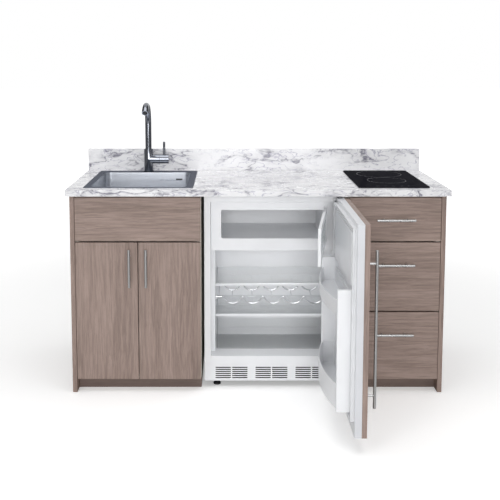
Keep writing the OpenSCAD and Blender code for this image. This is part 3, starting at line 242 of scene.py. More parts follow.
def ramp(tree, value, low, high, out_low=0.0, out_high=1.0, smooth=True):
    node = tree.nodes.new("ShaderNodeMapRange")
    node.interpolation_type = "SMOOTHSTEP" if smooth else "LINEAR"
    for socket, item in zip(node.inputs[:5], (value, low, high, out_low, out_high)):
        wire(tree, item, socket)
    return node.outputs[0]


def blend_colour(tree, factor, a, b):
    node = tree.nodes.new("ShaderNodeMix")
    node.data_type = "RGBA"
    wire(tree, factor, node.inputs[0])
    wire(tree, a, node.inputs[6])
    wire(tree, b, node.inputs[7])
    return node.outputs[2]


def noise(tree, vector, scale, detail, roughness, distortion=0.0):
    node = tree.nodes.new("ShaderNodeTexNoise")
    node.noise_dimensions = "3D"
    wire(tree, vector, node.inputs["Vector"])
    values = {"Scale": scale, "Detail": detail, "Roughness": roughness, "Distortion": distortion}
    for label, value in values.items():
        wire(tree, value, node.inputs[label])
    return node


def scaled(tree, vector, scale, turn=(0, 0, 0), place=(0, 0, 0)):
    node = tree.nodes.new("ShaderNodeMapping")
    wire(tree, vector, node.inputs["Vector"])
    node.inputs["Scale"].default_value = scale
    node.inputs["Rotation"].default_value = turn
    node.inputs["Location"].default_value = place
    return node.outputs[0]


def surface_group():
    """Slow haze, fine speckle and smudges, for surfaces that are plain from a distance."""
    tree, start, end = group_tree(
        "surface_variation",
        [("Vector", "Vector", None), ("Haze scale", "Float", 6.0), ("Grain scale", "Float", 900.0)],
        [("Haze", "Float"), ("Grain", "Float"), ("Smudge", "Float")],
    )
    haze = noise(tree, start.outputs["Vector"], start.outputs["Haze scale"], 4, 0.6)
    grain = noise(tree, start.outputs["Vector"], start.outputs["Grain scale"], 2, 0.5)
    finer = maths(tree, "MULTIPLY", start.outputs["Haze scale"], 3.7)
    smudge = noise(tree, start.outputs["Vector"], finer, 5, 0.62, 0.8)
    wire(tree, ramp(tree, haze.outputs[0], 0.3, 0.7), end.inputs["Haze"])
    wire(tree, grain.outputs[0], end.inputs["Grain"])
    wire(tree, ramp(tree, smudge.outputs[0], 0.48, 0.66), end.inputs["Smudge"])
    return tree


def grain_group():
    """Laminate grain along the vector's Z: a fibre mask, broad bands and dark pores."""
    tree, start, end = group_tree(
        "laminate_grain",
        [("Vector", "Vector", None)],
        [("Fibre", "Float"), ("Band", "Float"), ("Pore", "Float")],
    )
    vector = start.outputs["Vector"]
    wave = noise(tree, scaled(tree, vector, (5, 5, 1.6)), 1.0, 3, 0.5)
    drift = tree.nodes.new("ShaderNodeVectorMath")
    drift.operation = "MULTIPLY_ADD"
    wire(tree, wave.outputs["Color"], drift.inputs[0])
    drift.inputs[1].default_value = (0.035, 0.035, 0.0)
    wire(tree, vector, drift.inputs[2])
    along = drift.outputs[0]
    fine = noise(tree, scaled(tree, along, (520, 520, 9)), 1.0, 4, 0.62)
    strand = noise(tree, scaled(tree, along, (105, 105, 5.5)), 1.0, 4, 0.66)
    band = noise(tree, scaled(tree, along, (22, 22, 1.1)), 1.0, 4, 0.6, 0.4)
    pore = noise(tree, scaled(tree, along, (900, 900, 22)), 1.0, 2, 0.5)
    thin = maths(tree, "MULTIPLY", fine.outputs[0], 0.42)
    thick = maths(tree, "MULTIPLY", strand.outputs[0], 0.58)
    fibre = maths(tree, "ADD", thin, thick)
    wire(tree, ramp(tree, fibre, 0.38, 0.62), end.inputs["Fibre"])
    wire(tree, ramp(tree, band.outputs[0], 0.34, 0.66), end.inputs["Band"])
    wire(tree, ramp(tree, pore.outputs[0], 0.60, 0.72), end.inputs["Pore"])
    return tree


def vein_group():
    """Marble in clusters: broken veins, hair veins and the haze beside them, each from 0 to 1."""
    tree, start, end = group_tree(
        "marble_veins",
        [("Vector", "Vector", None), ("Scale", "Float", 6.0)],
        [("Bold", "Float"), ("Hair", "Float"), ("Cloud", "Float")],
    )
    vector, scale = start.outputs["Vector"], start.outputs["Scale"]

    def bend(source, factor, reach, detail):
        warp = noise(tree, source, maths(tree, "MULTIPLY", scale, factor), detail, 0.6)
        bent = tree.nodes.new("ShaderNodeVectorMath")
        bent.operation = "MULTIPLY_ADD"
        wire(tree, warp.outputs["Color"], bent.inputs[0])
        bent.inputs[1].default_value = (reach, reach, reach)
        wire(tree, source, bent.inputs[2])
        return bent.outputs[0]

    path = bend(bend(vector, 0.7, 0.20, 3), 4.0, 0.022, 5)
    patches = noise(tree, vector, maths(tree, "MULTIPLY", scale, 0.62), 3, 0.5)
    patch = ramp(tree, patches.outputs[0], 0.38, 0.56)
    breaks = noise(tree, vector, maths(tree, "MULTIPLY", scale, 7.0), 4, 0.65)
    crumble = ramp(tree, breaks.outputs[0], 0.34, 0.56)

    def ridge(factor, width, detail, place_at):
        moved = scaled(tree, path, (1, 1, 1), place=place_at)
        field = noise(tree, moved, maths(tree, "MULTIPLY", scale, factor), detail, 0.5)
        edge = maths(tree, "ABSOLUTE", maths(tree, "SUBTRACT", field.outputs[0], 0.5))
        return ramp(tree, edge, 0.0, width, 1.0, 0.0)

    bold = maths(tree, "MULTIPLY", ridge(1.0, 0.030, 3, (0, 0, 0)), maths(tree, "MULTIPLY", patch, crumble))
    faint = maths(tree, "ADD", maths(tree, "MULTIPLY", patch, 0.75), 0.25)
    hair = maths(tree, "MULTIPLY", ridge(2.1, 0.024, 4, (3.1, 1.7, 0.4)), faint)
    cloud = maths(tree, "MULTIPLY", ridge(1.0, 0.10, 3, (0, 0, 0)), patch)
    wire(tree, bold, end.inputs["Bold"])
    wire(tree, hair, end.inputs["Hair"])
    wire(tree, cloud, end.inputs["Cloud"])
    return tree


def streak_group():
    """Brushing marks along the vector's X: streaks and the broad shade under them."""
    tree, start, end = group_tree(
        "brushed_streaks", [("Vector", "Vector", None)], [("Streak", "Float"), ("Shade", "Float")]
    )
    vector = start.outputs["Vector"]
    fine = noise(tree, scaled(tree, vector, (6, 1400, 1400)), 1.0, 3, 0.6)
    broad = noise(tree, scaled(tree, vector, (3, 90, 90)), 1.0, 3, 0.55)
    wire(tree, fine.outputs[0], end.inputs["Streak"])
    wire(tree, ramp(tree, broad.outputs[0], 0.3, 0.7), end.inputs["Shade"])
    return tree


EFFECTS = {}


def build_effects():
    EFFECTS.update(surface=surface_group(), grain=grain_group(), veins=vein_group(), streaks=streak_group())


class Finish:
    """One material: a Principled shader with an Object-coordinate vector and the effects placed on it."""

    def __init__(self, name, roughness=0.4, metallic=0.0, **sockets):
        self.material = bpy.data.materials.new(name)
        self.material.use_nodes = True
        self.tree = self.material.node_tree
        self.shader = self.tree.nodes["Principled BSDF"]
        self.vector = self.tree.nodes.new("ShaderNodeTexCoord").outputs["Object"]
        self.set("Roughness", roughness)
        self.set("Metallic", metallic)
        for label, value in sockets.items():
            self.set(label.replace("_", " "), value)

    def set(self, label, value):
        wire(self.tree, value, self.shader.inputs[label])

    def effect(self, name, scale=(1, 1, 1), turn=(0, 0, 0), **values):
        node = self.tree.nodes.new("ShaderNodeGroup")
        node.node_tree = EFFECTS[name]
        wire(self.tree, scaled(self.tree, self.vector, scale, turn), node.inputs["Vector"])
        for label, value in values.items():
            node.inputs[label.replace("_", " ")].default_value = value
        return node.outputs

    def relief(self, height, distance):
        node = self.tree.nodes.new("ShaderNodeBump")
        node.inputs["Distance"].default_value = distance
        node.inputs["Strength"].default_value = 1.0
        wire(self.tree, height, node.inputs["Height"])
        self.set("Normal", node.outputs[0])

    def roughness(self, value, low, high):
        self.set("Roughness", ramp(self.tree, value, 0.0, 1.0, low, high, smooth=False))


def rgba(colour, factor=1.0):
    return (*[min(1.0, c * factor) for c in colour[:3]], 1.0)


def plain(name, colour, rough, metallic=0.0, shade=0.04, bump=0.02 * MM, haze=6.0, grain=900.0, **sockets):
    """A plain painted, moulded or coated surface with slow shade, smudges in its gloss and a fine grain."""
    made = Finish(name, metallic=metallic, **sockets)
    out = made.effect("surface", Haze_scale=haze, Grain_scale=grain)
    tone = blend_colour(made.tree, out["Haze"], rgba(colour, 1 - shade), rgba(colour, 1 + shade))
    made.set("Base Color", tone)
    made.roughness(out["Smudge"], *rough)
    made.relief(out["Grain"], bump)
    return made.material


def brushed(name, colour, rough, turn=(0, 0, 0), shade=0.10, **sockets):
    """Brushed metal with its marks along one direction."""
    made = Finish(name, metallic=1.0, **sockets)
    out = made.effect("streaks", turn=turn)
    haze = made.effect("surface", Haze_scale=9.0, Grain_scale=700.0)
    tone = blend_colour(made.tree, out["Streak"], rgba(colour, 1 - shade), rgba(colour, 1 + shade))
    smudge = maths(made.tree, "MULTIPLY", haze["Smudge"], 0.25)
    made.set("Base Color", blend_colour(made.tree, smudge, tone, rgba(colour, 0.86)))
    made.roughness(out["Shade"], *rough)
    made.relief(out["Streak"], 0.02 * MM)
    return made.material


def laminate(name, light, dark, turn=(0, 0, 0)):
    """Wood-look laminate; the grain runs along Z unless it is turned."""
    made = Finish(name)
    out = made.effect("grain", turn=turn)
    tree = made.tree
    fibre = maths(tree, "MULTIPLY", out["Fibre"], 0.62)
    band = maths(tree, "MULTIPLY", out["Band"], 0.38)
    mask = maths(tree, "ADD", fibre, band)
    tone = blend_colour(tree, mask, rgba(dark), rgba(light))
    tone = blend_colour(tree, maths(tree, "MULTIPLY", out["Pore"], 0.5), tone, rgba(dark, 0.72))
    made.set("Base Color", tone)
    made.roughness(out["Fibre"], 0.46, 0.62)
    made.relief(maths(tree, "SUBTRACT", out["Fibre"], out["Pore"]), 0.12 * MM)
    return made.material


def marble(name, ground, vein, scale=8.5):
    """White marble-look worktop with clustered feathery veins that run down to the right."""
    made = Finish(name, Coat_Weight=0.2, Coat_Roughness=0.15)
    turn = [math.radians(degrees) for degrees in (14, 26, 16)]
    out = made.effect("veins", scale=(0.62, 1.0, 1.35), turn=turn, Scale=scale)
    haze = made.effect("surface", Haze_scale=5.0, Grain_scale=420.0)
    tree = made.tree
    tone = blend_colour(tree, haze["Haze"], rgba(ground, 0.975), rgba(ground, 1.02))
    grey = rgba([0.60 * g + 0.40 * v for g, v in zip(ground, vein)])
    tone = blend_colour(tree, maths(tree, "MULTIPLY", out["Cloud"], 0.62), tone, grey)
    tone = blend_colour(tree, maths(tree, "MULTIPLY", out["Hair"], 0.72), tone, rgba(vein, 2.0))
    tone = blend_colour(tree, maths(tree, "MULTIPLY", out["Bold"], 0.95), tone, rgba(vein))
    made.set("Base Color", tone)
    made.roughness(haze["Smudge"], 0.24, 0.32)
    made.relief(haze["Grain"], 0.01 * MM)
    return made.material


def clear_plastic(name, colour, rough, clear, edge, transmission=1.0, ior=1.46):
    """A see-through wall: faint tint, smudged gloss, and more body where it is seen along its surface."""
    made = Finish(name, Transmission_Weight=transmission, IOR=ior)
    out = made.effect("surface", Haze_scale=7.0, Grain_scale=500.0)
    made.set("Base Color", blend_colour(made.tree, out["Haze"], rgba(colour, 0.985), rgba(colour, 1.0)))
    made.roughness(out["Smudge"], rough, rough + 0.05)
    made.relief(out["Grain"], 0.004 * MM)
    slant = made.tree.nodes.new("ShaderNodeLayerWeight")
    slant.inputs["Blend"].default_value = 0.4
    made.set("Alpha", ramp(made.tree, slant.outputs["Facing"], 0.15, 0.95, clear, edge))
    return made.material


FINISHES = {}


def build_finishes():
    """Every material, under the name of its slot in the record or of the piece that wears it."""
    tones = colours()
    build_effects()
    light, dark = tones.laminate_light, tones.laminate_dark
    white = tones.appliance_white
    quarter = math.radians(90)
    FINISHES.update(
        laminate=laminate("laminate_upright", light, dark),
        laminate_flat=laminate("laminate_level", light, dark, turn=(0, quarter, 0)),
        board=plain("coated_board", tones.board, (0.5, 0.62), shade=0.05, bump=0.06 * MM, grain=420.0),
        toe_board=laminate(
            "toe_laminate", [1.35 * c for c in tones.toe_board], tones.toe_board, turn=(0, quarter, 0)
        ),
        marble=marble("worktop_marble", tones.marble_base, tones.marble_vein),
        sink_steel=brushed("sink_brushed_steel", tones.sink_steel, (0.27, 0.36)),
        # Darker copy of the sink steel with tinted reflections, for the rim: painted shade.
        rim_steel=brushed(
            "sink_rim_steel", tones.rim_steel, (0.42, 0.52), Specular_Tint=(0.28, 0.29, 0.32, 1.0)
        ),
        drain_steel=brushed("drain_polished_steel", tones.sink_steel, (0.16, 0.26), shade=0.05),
        satin_steel=brushed(
            "pull_satin_steel", tones.pull_steel, (0.25, 0.34), turn=(0, quarter, 0), shade=0.07
        ),
        zinc_steel=brushed("zinc_plated_steel", tones.zinc, (0.34, 0.46), shade=0.06),
        dark_chrome=plain(
            "gunmetal_chrome", tones.tap_metal, (0.10, 0.17), metallic=1.0, shade=0.05, bump=0.004 * MM
        ),
        waste_plastic=plain("waste_pipe_plastic", tones.pipe_plastic, (0.35, 0.45)),
        black_glass=plain(
            "hob_black_glass", tones.hob_glass, (0.05, 0.11), shade=0.15, bump=0.002 * MM,
            Specular_IOR_Level=0.0, Coat_Weight=0.035, Coat_Roughness=0.04
        ),
        zone_print=plain("hob_zone_print", tones.ring_grey, (0.25, 0.35), shade=0.10, Specular_IOR_Level=0.2),
        heater_board=plain("heater_fibre_board", tones.heater, (0.8, 0.9), bump=0.2 * MM, grain=300.0),
        white_enamel=plain("white_enamel", white, (0.24, 0.34), shade=0.015, bump=0.02 * MM, grain=260.0),
        case_enamel=plain(
            "door_case_enamel", tones.case_grey, (0.28, 0.38), shade=0.02, bump=0.02 * MM, grain=260.0
        ),
        white_plastic=plain("white_plastic", white, (0.30, 0.42), shade=0.015, bump=0.015 * MM, grain=1200.0),
        scale_print=plain("dial_scale_print", tones.scale_grey, (0.45, 0.55), shade=0.08),
        foam=plain(
            "insulation_foam", tones.foam, (0.85, 0.95), shade=0.10, bump=0.6 * MM, haze=24.0, grain=260.0
        ),
        black_metal=plain(
            "black_painted_metal", tones.black_paint, (0.45, 0.6), shade=0.2, bump=0.04 * MM, grain=500.0,
            Specular_IOR_Level=0.3
        ),
        black_plastic=plain(
            "black_plastic", tones.black_plastic, (0.45, 0.6), shade=0.2, bump=0.05 * MM, grain=700.0
        ),
        slot_shadow=plain("slot_shadow", tones.slot_shadow, (0.7, 0.8), shade=0.1, Specular_IOR_Level=0.2),
        shelf_glass=clear_plastic("shelf_glass", tones.shelf_tint, 0.02, 0.10, 0.34, ior=1.5),
        clear_plastic=clear_plastic("crisper_plastic", tones.crisper_tint, 0.04, 0.14, 0.42),
        frosted_plastic=clear_plastic(
            "flap_window_plastic", tones.flap_tint, 0.20, 0.50, 0.85, transmission=0.6
        ),
        chrome_wire=plain(
            "bright_chrome_wire", tones.chrome, (0.08, 0.16), metallic=1.0, shade=0.03, bump=0.004 * MM
        ),
        gasket_rubber=plain("gasket_vinyl", tones.gasket, (0.42, 0.52), shade=0.03, bump=0.04 * MM),
        copper=plain("copper_tube", tones.copper, (0.25, 0.42), metallic=1.0, shade=0.12, haze=40.0),
    )


# ---- Mesh helpers ----

SHARP_ANGLE = math.radians(40)
FLAT_ANGLE = math.radians(0.4)
WELD = 0.01 * MM


def place(bm, name, body, slot, finish=None, replaces=(), weighted=True, regions=()):
    """Turns a bmesh into a finished piece that rides on a body.

    Each of the regions is a test of a face's middle and the finish of the faces that pass it.
    """
    mesh = bpy.data.meshes.new(name)
    bm.to_mesh(mesh)
    bm.free()
    mesh.shade_smooth()
    mesh.set_sharp_from_angle(angle=SHARP_ANGLE)
    piece = bpy.data.objects.new(name, mesh)
    bpy.context.scene.collection.objects.link(piece)
    mesh.materials.append(FINISHES[finish or slot])
    for number, (inside, other) in enumerate(regions, start=1):
        mesh.materials.append(FINISHES[other])
        for face in mesh.polygons:
            if inside(face.center):
                face.material_index = number
    if weighted:
        shade = piece.modifiers.new("even_shading", "WEIGHTED_NORMAL")
        shade.keep_sharp = True
        shade.weight = 60
    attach(piece, body)
    if replaces:
        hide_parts(*replaces)


def body_of(node):
    return NODES[node]["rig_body"]


def copied(node):
    """A merged copy of a node's mesh with its flat faces joined."""
    bm = bmesh.new()
    bm.from_mesh(NODES[node].data)
    bmesh.ops.remove_doubles(bm, verts=bm.verts, dist=WELD)
    bmesh.ops.dissolve_limit(
        bm, angle_limit=FLAT_ANGLE, use_dissolve_boundaries=False, verts=bm.verts, edges=bm.edges
    )
    return bm


def round_edges(bm, radius, segments=None, angle=35.0):
    """Bevels the edges that turn by more than an angle in degrees."""
    turn = math.radians(angle)
    edges = [e for e in bm.edges if len(e.link_faces) == 2 and e.calc_face_angle(0) > turn]
    bmesh.ops.bevel(
        bm,
        geom=edges,
        offset=radius,
        offset_type="OFFSET",
        affect="EDGES",
        segments=segments or sizes().edge_segments,
        profile=0.5,
        material=-1,
        clamp_overlap=True,
    )
    return bm


def softened(node, radius, slot, finish=None, segments=None, regions=()):
    """A node's own form with rounded edges, in its place."""
    bm = round_edges(copied(node), radius, segments)
    place(bm, node + "_piece", body_of(node), slot, finish, replaces=(node,), regions=regions)


def paint(node, finish):
    """A node whose form is right keeps it and gets its material."""
    slots = NODES[node].material_slots
    if not slots:
        NODES[node].data.materials.append(FINISHES[finish])
    for item in slots:
        item.material = FINISHES[finish]


def block(bm, low, high):
    """A box between two corners, in metres."""
    made = bmesh.ops.create_cube(bm, size=1.0)["verts"]
    centre = [(a + b) / 2 for a, b in zip(low, high)]
    bmesh.ops.scale(bm, vec=[b - a for a, b in zip(low, high)], verts=made)
    bmesh.ops.translate(bm, vec=centre, verts=made)
    return made


def drum(bm, centre, radius, depth, axis="Z", segments=48, radius2=None):
    """A closed cylinder or cone along X or Z, centred on a point."""
    turn = Matrix.Rotation(math.radians(90), 4, "Y") if axis == "X" else Matrix.Identity(4)
    return bmesh.ops.create_cone(
        bm,
        cap_ends=True,
        segments=segments,
        radius1=radius,
        radius2=radius if radius2 is None else radius2,
        depth=depth,
        matrix=Matrix.Translation(centre) @ turn,
    )["verts"]


def middle(node):
    low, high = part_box(node)
    return (low + high) / 2


def ring(bm, centre, radius, width, height, steps=96):
    """A flat ring that stands up by its height from a centre on a level face."""
    made = bmesh.ops.create_grid(bm, x_segments=1, y_segments=1, size=0.5)["verts"]
    bmesh.ops.delete(bm, geom=list({f for v in made for f in v.link_faces}), context="FACES_ONLY")
    bmesh.ops.scale(bm, vec=(width, height, 1), verts=made)
    turned(bm, made, (0, 0, 0), "X", 90)
    bmesh.ops.translate(bm, vec=Vector(centre) + Vector((radius, 0, height / 2)), verts=made)
    edges = list({e for v in made for e in v.link_edges})
    bmesh.ops.spin(
        bm,
        geom=made + edges,
        cent=centre,
        axis=(0, 0, 1),
        angle=math.tau,
        steps=steps,
        use_merge=True,
        use_duplicate=False,
    )
    bmesh.ops.recalc_face_normals(bm, faces=bm.faces)


def turned(bm, verts, centre, axis, degrees):
    """Turns points about an axis through a centre."""
    bmesh.ops.rotate(bm, cent=centre, matrix=Matrix.Rotation(math.radians(degrees), 3, axis), verts=verts)


def screws(name, body, places, radius=4 * MM, height=1.6 * MM):
    """Pan-head screws with a dark cross on the head, painted shade for the cross recess; each place is the
    seat's centre and the way the head points.
    """
    heads, crosses = bmesh.new(), bmesh.new()
    arm, slit = radius * 0.5, radius * 0.11
    sunk, proud = height * 0.8, height * 1.01
    for seat, way in places:
        seat, way = Vector(seat), Vector(way)
        turn = Vector((0, 0, 1)).rotation_difference(way).to_matrix()
        head = drum(heads, (0, 0, height / 2), radius, height, segments=24, radius2=radius * 0.72)
        cross = block(crosses, (-arm, -slit, sunk), (arm, slit, proud))
        cross += block(crosses, (-slit, -arm, sunk), (slit, arm, proud))
        for bm, verts in ((heads, head), (crosses, cross)):
            bmesh.ops.rotate(bm, cent=(0, 0, 0), matrix=turn, verts=verts)
            bmesh.ops.translate(bm, vec=seat, verts=verts)
    round_edges(heads, 0.35 * MM, 2, 25.0)
    place(heads, name, body, "zinc_steel")
    place(crosses, name + "_recesses", body, "zinc_steel", "slot_shadow")


# ---- Pieces ----


class KITCHENETTE_OT_worktop(bpy.types.Operator):
    """Stone worktop with its cut-outs and the backsplash"""

    bl_idname = "kitchenette.worktop"
    bl_label = "Worktop and backsplash"

    def execute(self, context):
        edge = sizes().stone_edge
        softened("worktop", edge, "marble")
        softened("backsplash", edge * 0.6, "marble")
        return {"FINISHED"}


class KITCHENETTE_OT_units(bpy.types.Operator):
    """Carcasses, end panels, toe boards, fronts, runners and hinges of the two base units"""

    bl_idname = "kitchenette.units"
    bl_label = "Base units"

    def execute(self, context):
        edge, raw, fitting = sizes().front_edge, sizes().sheet_edge, sizes().fitting_edge
        for node in ("left_door", "right_door", "end_panels"):
            softened(node, edge, "laminate")
        for node in ("false_front", "top_drawer_front", "middle_drawer_front", "bottom_drawer_front"):
            softened(node, edge, "laminate", "laminate_flat")
        softened("toe_kicks", edge * 0.6, "toe_board")
        for node in ("carcass_sides", "carcass_floors", "carcass_backs", "carcass_rails", "bay_rails"):
            softened(node, raw, "board", segments=1)
        for row in ("top", "middle", "bottom"):
            softened(row + "_drawer_box", 1.0 * MM, "board", segments=2)
            softened(row + "_drawer_fittings", fitting, "satin_steel", segments=2)
        for side in ("left", "right"):
            softened(side + "_door_fittings", fitting, "satin_steel", segments=2)
        softened("hinge_arms", 1.2 * MM, "zinc_steel", segments=2)
        softened("cabinet_runners", 0.3 * MM, "zinc_steel", segments=1)
        self.hinge_screws()
        return {"FINISHED"}

    def hinge_screws(self):
        """Two screws in the plate of each concealed hinge."""
        low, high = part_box("hinge_arms")
        plate, from_end, half_gap = 3 * MM, 22 * MM, 15 * MM
        seats = []
        for centre in (low.z + from_end, high.z - from_end):
            for z in (centre - half_gap, centre + half_gap):
                seats.append(((low.x + plate, HINGE_PLATE_Y, z), (1, 0, 0)))
                seats.append(((high.x - plate, HINGE_PLATE_Y, z), (-1, 0, 0)))
        screws("hinge_plate_screws", body_of("hinge_arms"), seats, radius=3.6 * MM)


class KITCHENETTE_OT_sink(bpy.types.Operator):
    """Pressed sink with fillets, its drain, strainer and waste trap"""

    bl_idname = "kitchenette.sink"
    bl_label = "Sink"

    def execute(self, context):
        sheet = sizes().sheet_edge
        softened("sink", sheet, "sink_steel", segments=1, regions=((self.on_rim, "rim_steel"),))
        softened("sink_drain", sheet, "sink_steel", "drain_steel", segments=1)
        softened("basket_strainer", 0.3 * MM, "sink_steel", "drain_steel", segments=1)
        softened("waste_trap", sizes().fitting_edge, "waste_plastic", segments=2)
        self.creases()
        self.overflow_box()
        return {"FINISHED"}

    def on_rim(self, spot):
        """True for the flat rim of the sink, which gets the darker steel as painted shade."""
        return spot.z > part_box("sink")[1].z - 1.5 * MM

    def creases(self):
        """Four low ridges that lead from the corners of the bowl floor to the drain."""
        near, far, rise = 64 * MM, 128 * MM, 0.8 * MM
        width = sizes().crease_width
        drain = middle("sink_drain")
        bm = bmesh.new()
        for degrees in (38, 142, 218, 322):
            centre = ((near + far) / 2, 0, 0)
            made = drum(bm, centre, width / 2, far - near, axis="X", segments=20, radius2=width / 8)
            bmesh.ops.scale(bm, vec=(1, 1, 2 * rise / width), verts=made)
            turned(bm, made, (0, 0, 0), "Z", degrees)
            bmesh.ops.translate(bm, vec=(drain.x, drain.y, BOWL_FLOOR), verts=made)
        place(bm, "bowl_creases", body_of("sink"), "sink_steel")

    def overflow_box(self):
        """Plastic box on the outside of the bowl, behind the overflow slot; its black is partly painted shade
        for the inside of the slot.
        """
        bm = bmesh.new()
        block(bm, *OVERFLOW_BOX)
        round_edges(bm, 2 * MM)
        place(bm, "overflow_box", body_of("sink"), "black_plastic")


class KITCHENETTE_OT_tap(bpy.types.Operator):
    """Mixer tap: body, swivel spout, hub and lever"""

    bl_idname = "kitchenette.tap"
    bl_label = "Mixer tap"

    def execute(self, context):
        for node in ("tap_body", "tap_spout", "tap_hub", "tap_lever"):
            softened(node, 0.7 * MM, "dark_chrome", segments=3)
        self.aerator()
        return {"FINISHED"}

    def aerator(self):
        """Black insert of three steps in the mouth of the spout."""
        sine, cosine = math.sin(SPOUT_SWEEP), math.cos(SPOUT_SWEEP)
        arc_end = Vector((TAP_X, TAP_Y - SPOUT_RADIUS * (1 - cosine), SPOUT_ARC_Z + SPOUT_RADIUS * sine))
        way = Vector((0, -sine, cosine))
        tilt = Vector((0, 0, -1)).rotation_difference(way).to_matrix().to_4x4()
        mouth = Matrix.Translation(arc_end + way * SPOUT_TIP) @ tilt
        thick, step = 1.6 * MM, 0.3 * MM
        bm = bmesh.new()
        for number, radius in enumerate((10.9 * MM, 7.6 * MM, 4.0 * MM)):
            made = drum(bm, (0, 0, -step * number), radius, thick, segments=40)
            bmesh.ops.transform(bm, matrix=mouth, verts=made)
        round_edges(bm, 0.3 * MM, 1)
        place(bm, "spout_aerator", body_of("tap_spout"), "black_plastic")


class KITCHENETTE_OT_hob(bpy.types.Operator):
    """Ceramic glass, steel case and heaters of the hob"""

    bl_idname = "kitchenette.hob"
    bl_label = "Hob"

    def execute(self, context):
        softened("hob_glass", 1.4 * MM, "black_glass")
        softened("hob_case", 0.3 * MM, "zinc_steel", segments=1)
        paint("hob_heaters", "heater_board")
        self.zone_print()
        return {"FINISHED"}

    def zone_print(self):
        """Printed rings of the two cooking zones and the row of touch marks at the front edge."""
        ink, stroke = 0.12 * MM, 0.6 * MM
        pitch, radius, reach, from_front = 32 * MM, 5.5 * MM, 2.4 * MM, 24 * MM
        centre = middle("hob_glass")
        low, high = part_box("hob_glass")
        top, row = high.z, low.y + from_front
        half = stroke / 2
        bm = bmesh.new()
        for y, zone in HOB_ZONES:
            ring(bm, (centre.x, y, top), zone, sizes().zone_line, ink)
        for number in range(5):
            x = centre.x + (number - 2) * pitch
            ring(bm, (x, row, top), radius, stroke, ink, 32)
            if number != 2:
                block(bm, (x - reach, row - half, top), (x + reach, row + half, top + ink))
            if number in (1, 4):
                block(bm, (x - half, row - reach, top), (x + half, row + reach, top + ink))
        block(bm, (centre.x - half, row, top), (centre.x + half, row + 4 * MM, top + ink))
        place(bm, "hob_zone_print", body_of("hob_glass"), "black_glass", "zone_print", weighted=False)


class KITCHENETTE_OT_cabinet(bpy.types.Operator):
    """Refrigerator cabinet with its base, grille, feet and cooling parts"""

    bl_idname = "kitchenette.cabinet"
    bl_label = "Refrigerator cabinet"

    def execute(self, context):
        fitting = sizes().fitting_edge
        softened("fridge_shell", sizes().sheet_edge, "white_enamel", segments=1)
        paint("fridge_insulation", "foam")
        softened("fridge_liner", 1.0 * MM, "white_plastic")
        softened("fridge_base", fitting, "black_metal", segments=2)
        slots = ((self.in_slot, "slot_shadow"),)
        softened("toe_grille", 0.7 * MM, "white_plastic", segments=2, regions=slots)
        softened("fridge_feet", 1.0 * MM, "black_plastic", segments=2)
        softened("compressor", 1.2 * MM, "black_metal", segments=2, regions=((self.on_tube, "copper"),))
        paint("condenser", "black_metal")
        self.condenser_wires()
        softened("fridge_hinges", fitting, "zinc_steel", segments=2)
        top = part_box("fridge_hinges")[1].z
        seats = [(seat, (0, -1, 0)) for seat in LOWER_HINGE_SCREWS]
        seats += [((x, y, top), (0, 0, 1)) for x, y in UPPER_HINGE_SCREWS]
        screws("fridge_hinge_screws", body_of("fridge_hinges"), seats)
        return {"FINISHED"}

    def in_slot(self, spot):
        """True for the walls of the grille's slots, which get painted shade."""
        low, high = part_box("toe_grille")
        behind = spot.y > low.y + 0.8 * MM
        level = low.z + 9 * MM < spot.z < high.z - 4 * MM
        return behind and level and low.x + 6 * MM < spot.x < high.x - 6 * MM

    def on_tube(self, spot):
        """True for the refrigerant tube above and behind the compressor."""
        return spot.z > TUBE_ABOVE_Z or spot.y > TUBE_BEHIND_Y

    def condenser_wires(self):
        """Wires welded across both sides of the condenser tube."""
        thick = sizes().condenser_wire
        low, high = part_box("condenser")
        first, last = CONDENSER_ENDS
        count = int((last - first) / sizes().wire_pitch)
        off = CONDENSER_TUBE / 2 + thick / 3
        long = high.z - low.z - 26 * MM
        bm = bmesh.new()
        for number in range(count + 1):
            x = first + (last - first) * number / count
            for y in (CONDENSER_Y - off, CONDENSER_Y + off):
                drum(bm, (x, y, (low.z + high.z) / 2), thick / 2, long, segments=8)
        place(bm, "condenser_wires", body_of("condenser"), "black_metal", weighted=False)


class KITCHENETTE_OT_interior(bpy.types.Operator):
    """Freezer compartment, shelves, wine rack, crisper and thermostat"""

    bl_idname = "kitchenette.interior"
    bl_label = "Refrigerator interior"

    def execute(self, context):
        moulded = sizes().moulded_edge
        softened("freezer_compartment", 1.2 * MM, "white_plastic")
        softened("freezer_flap", 2.0 * MM, "white_plastic")
        softened("freezer_flap_window", 0.5 * MM, "frosted_plastic", segments=1)
        softened("shelf_panes", 0.8 * MM, "shelf_glass", segments=2)
        softened("shelf_trims", 1.5 * MM, "white_plastic")
        paint("wine_rack", "chrome_wire")
        softened("crisper_drawer", 1.0 * MM, "clear_plastic", segments=2)
        softened("thermostat_housing", moulded, "white_plastic")
        softened("thermostat_dial", 1.0 * MM, "white_plastic", segments=2)
        self.dial_scale()
        return {"FINISHED"}

    def dial_scale(self):
        """Seven marks round the dial and the pointer on it."""
        face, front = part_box("thermostat_housing")[0].x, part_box("thermostat_dial")[0].x
        centre = middle("thermostat_housing")
        start, half = 21 * MM, 0.4 * MM
        marks = bmesh.new()
        for number in range(7):
            long = 5.5 * MM if number in (0, 6) else 3.5 * MM
            made = block(marks, (face - 0.15 * MM, -half, start), (face + 0.2 * MM, half, start + long))
            turned(marks, made, (face, 0, 0), "X", (number - 3) * 45)
            bmesh.ops.translate(marks, vec=(0, centre.y, centre.z), verts=made)
        body = body_of("thermostat_housing")
        place(marks, "dial_scale", body, "white_plastic", "scale_print", weighted=False)
        thin, wide = 0.3 * MM, 0.7 * MM
        pointer = bmesh.new()
        block(
            pointer,
            (front - thin, centre.y - wide, centre.z + 5 * MM),
            (front + thin, centre.y + wide, centre.z + 15 * MM),
        )
        body = body_of("thermostat_dial")
        place(pointer, "dial_pointer", body, "white_plastic", "scale_print", weighted=False)


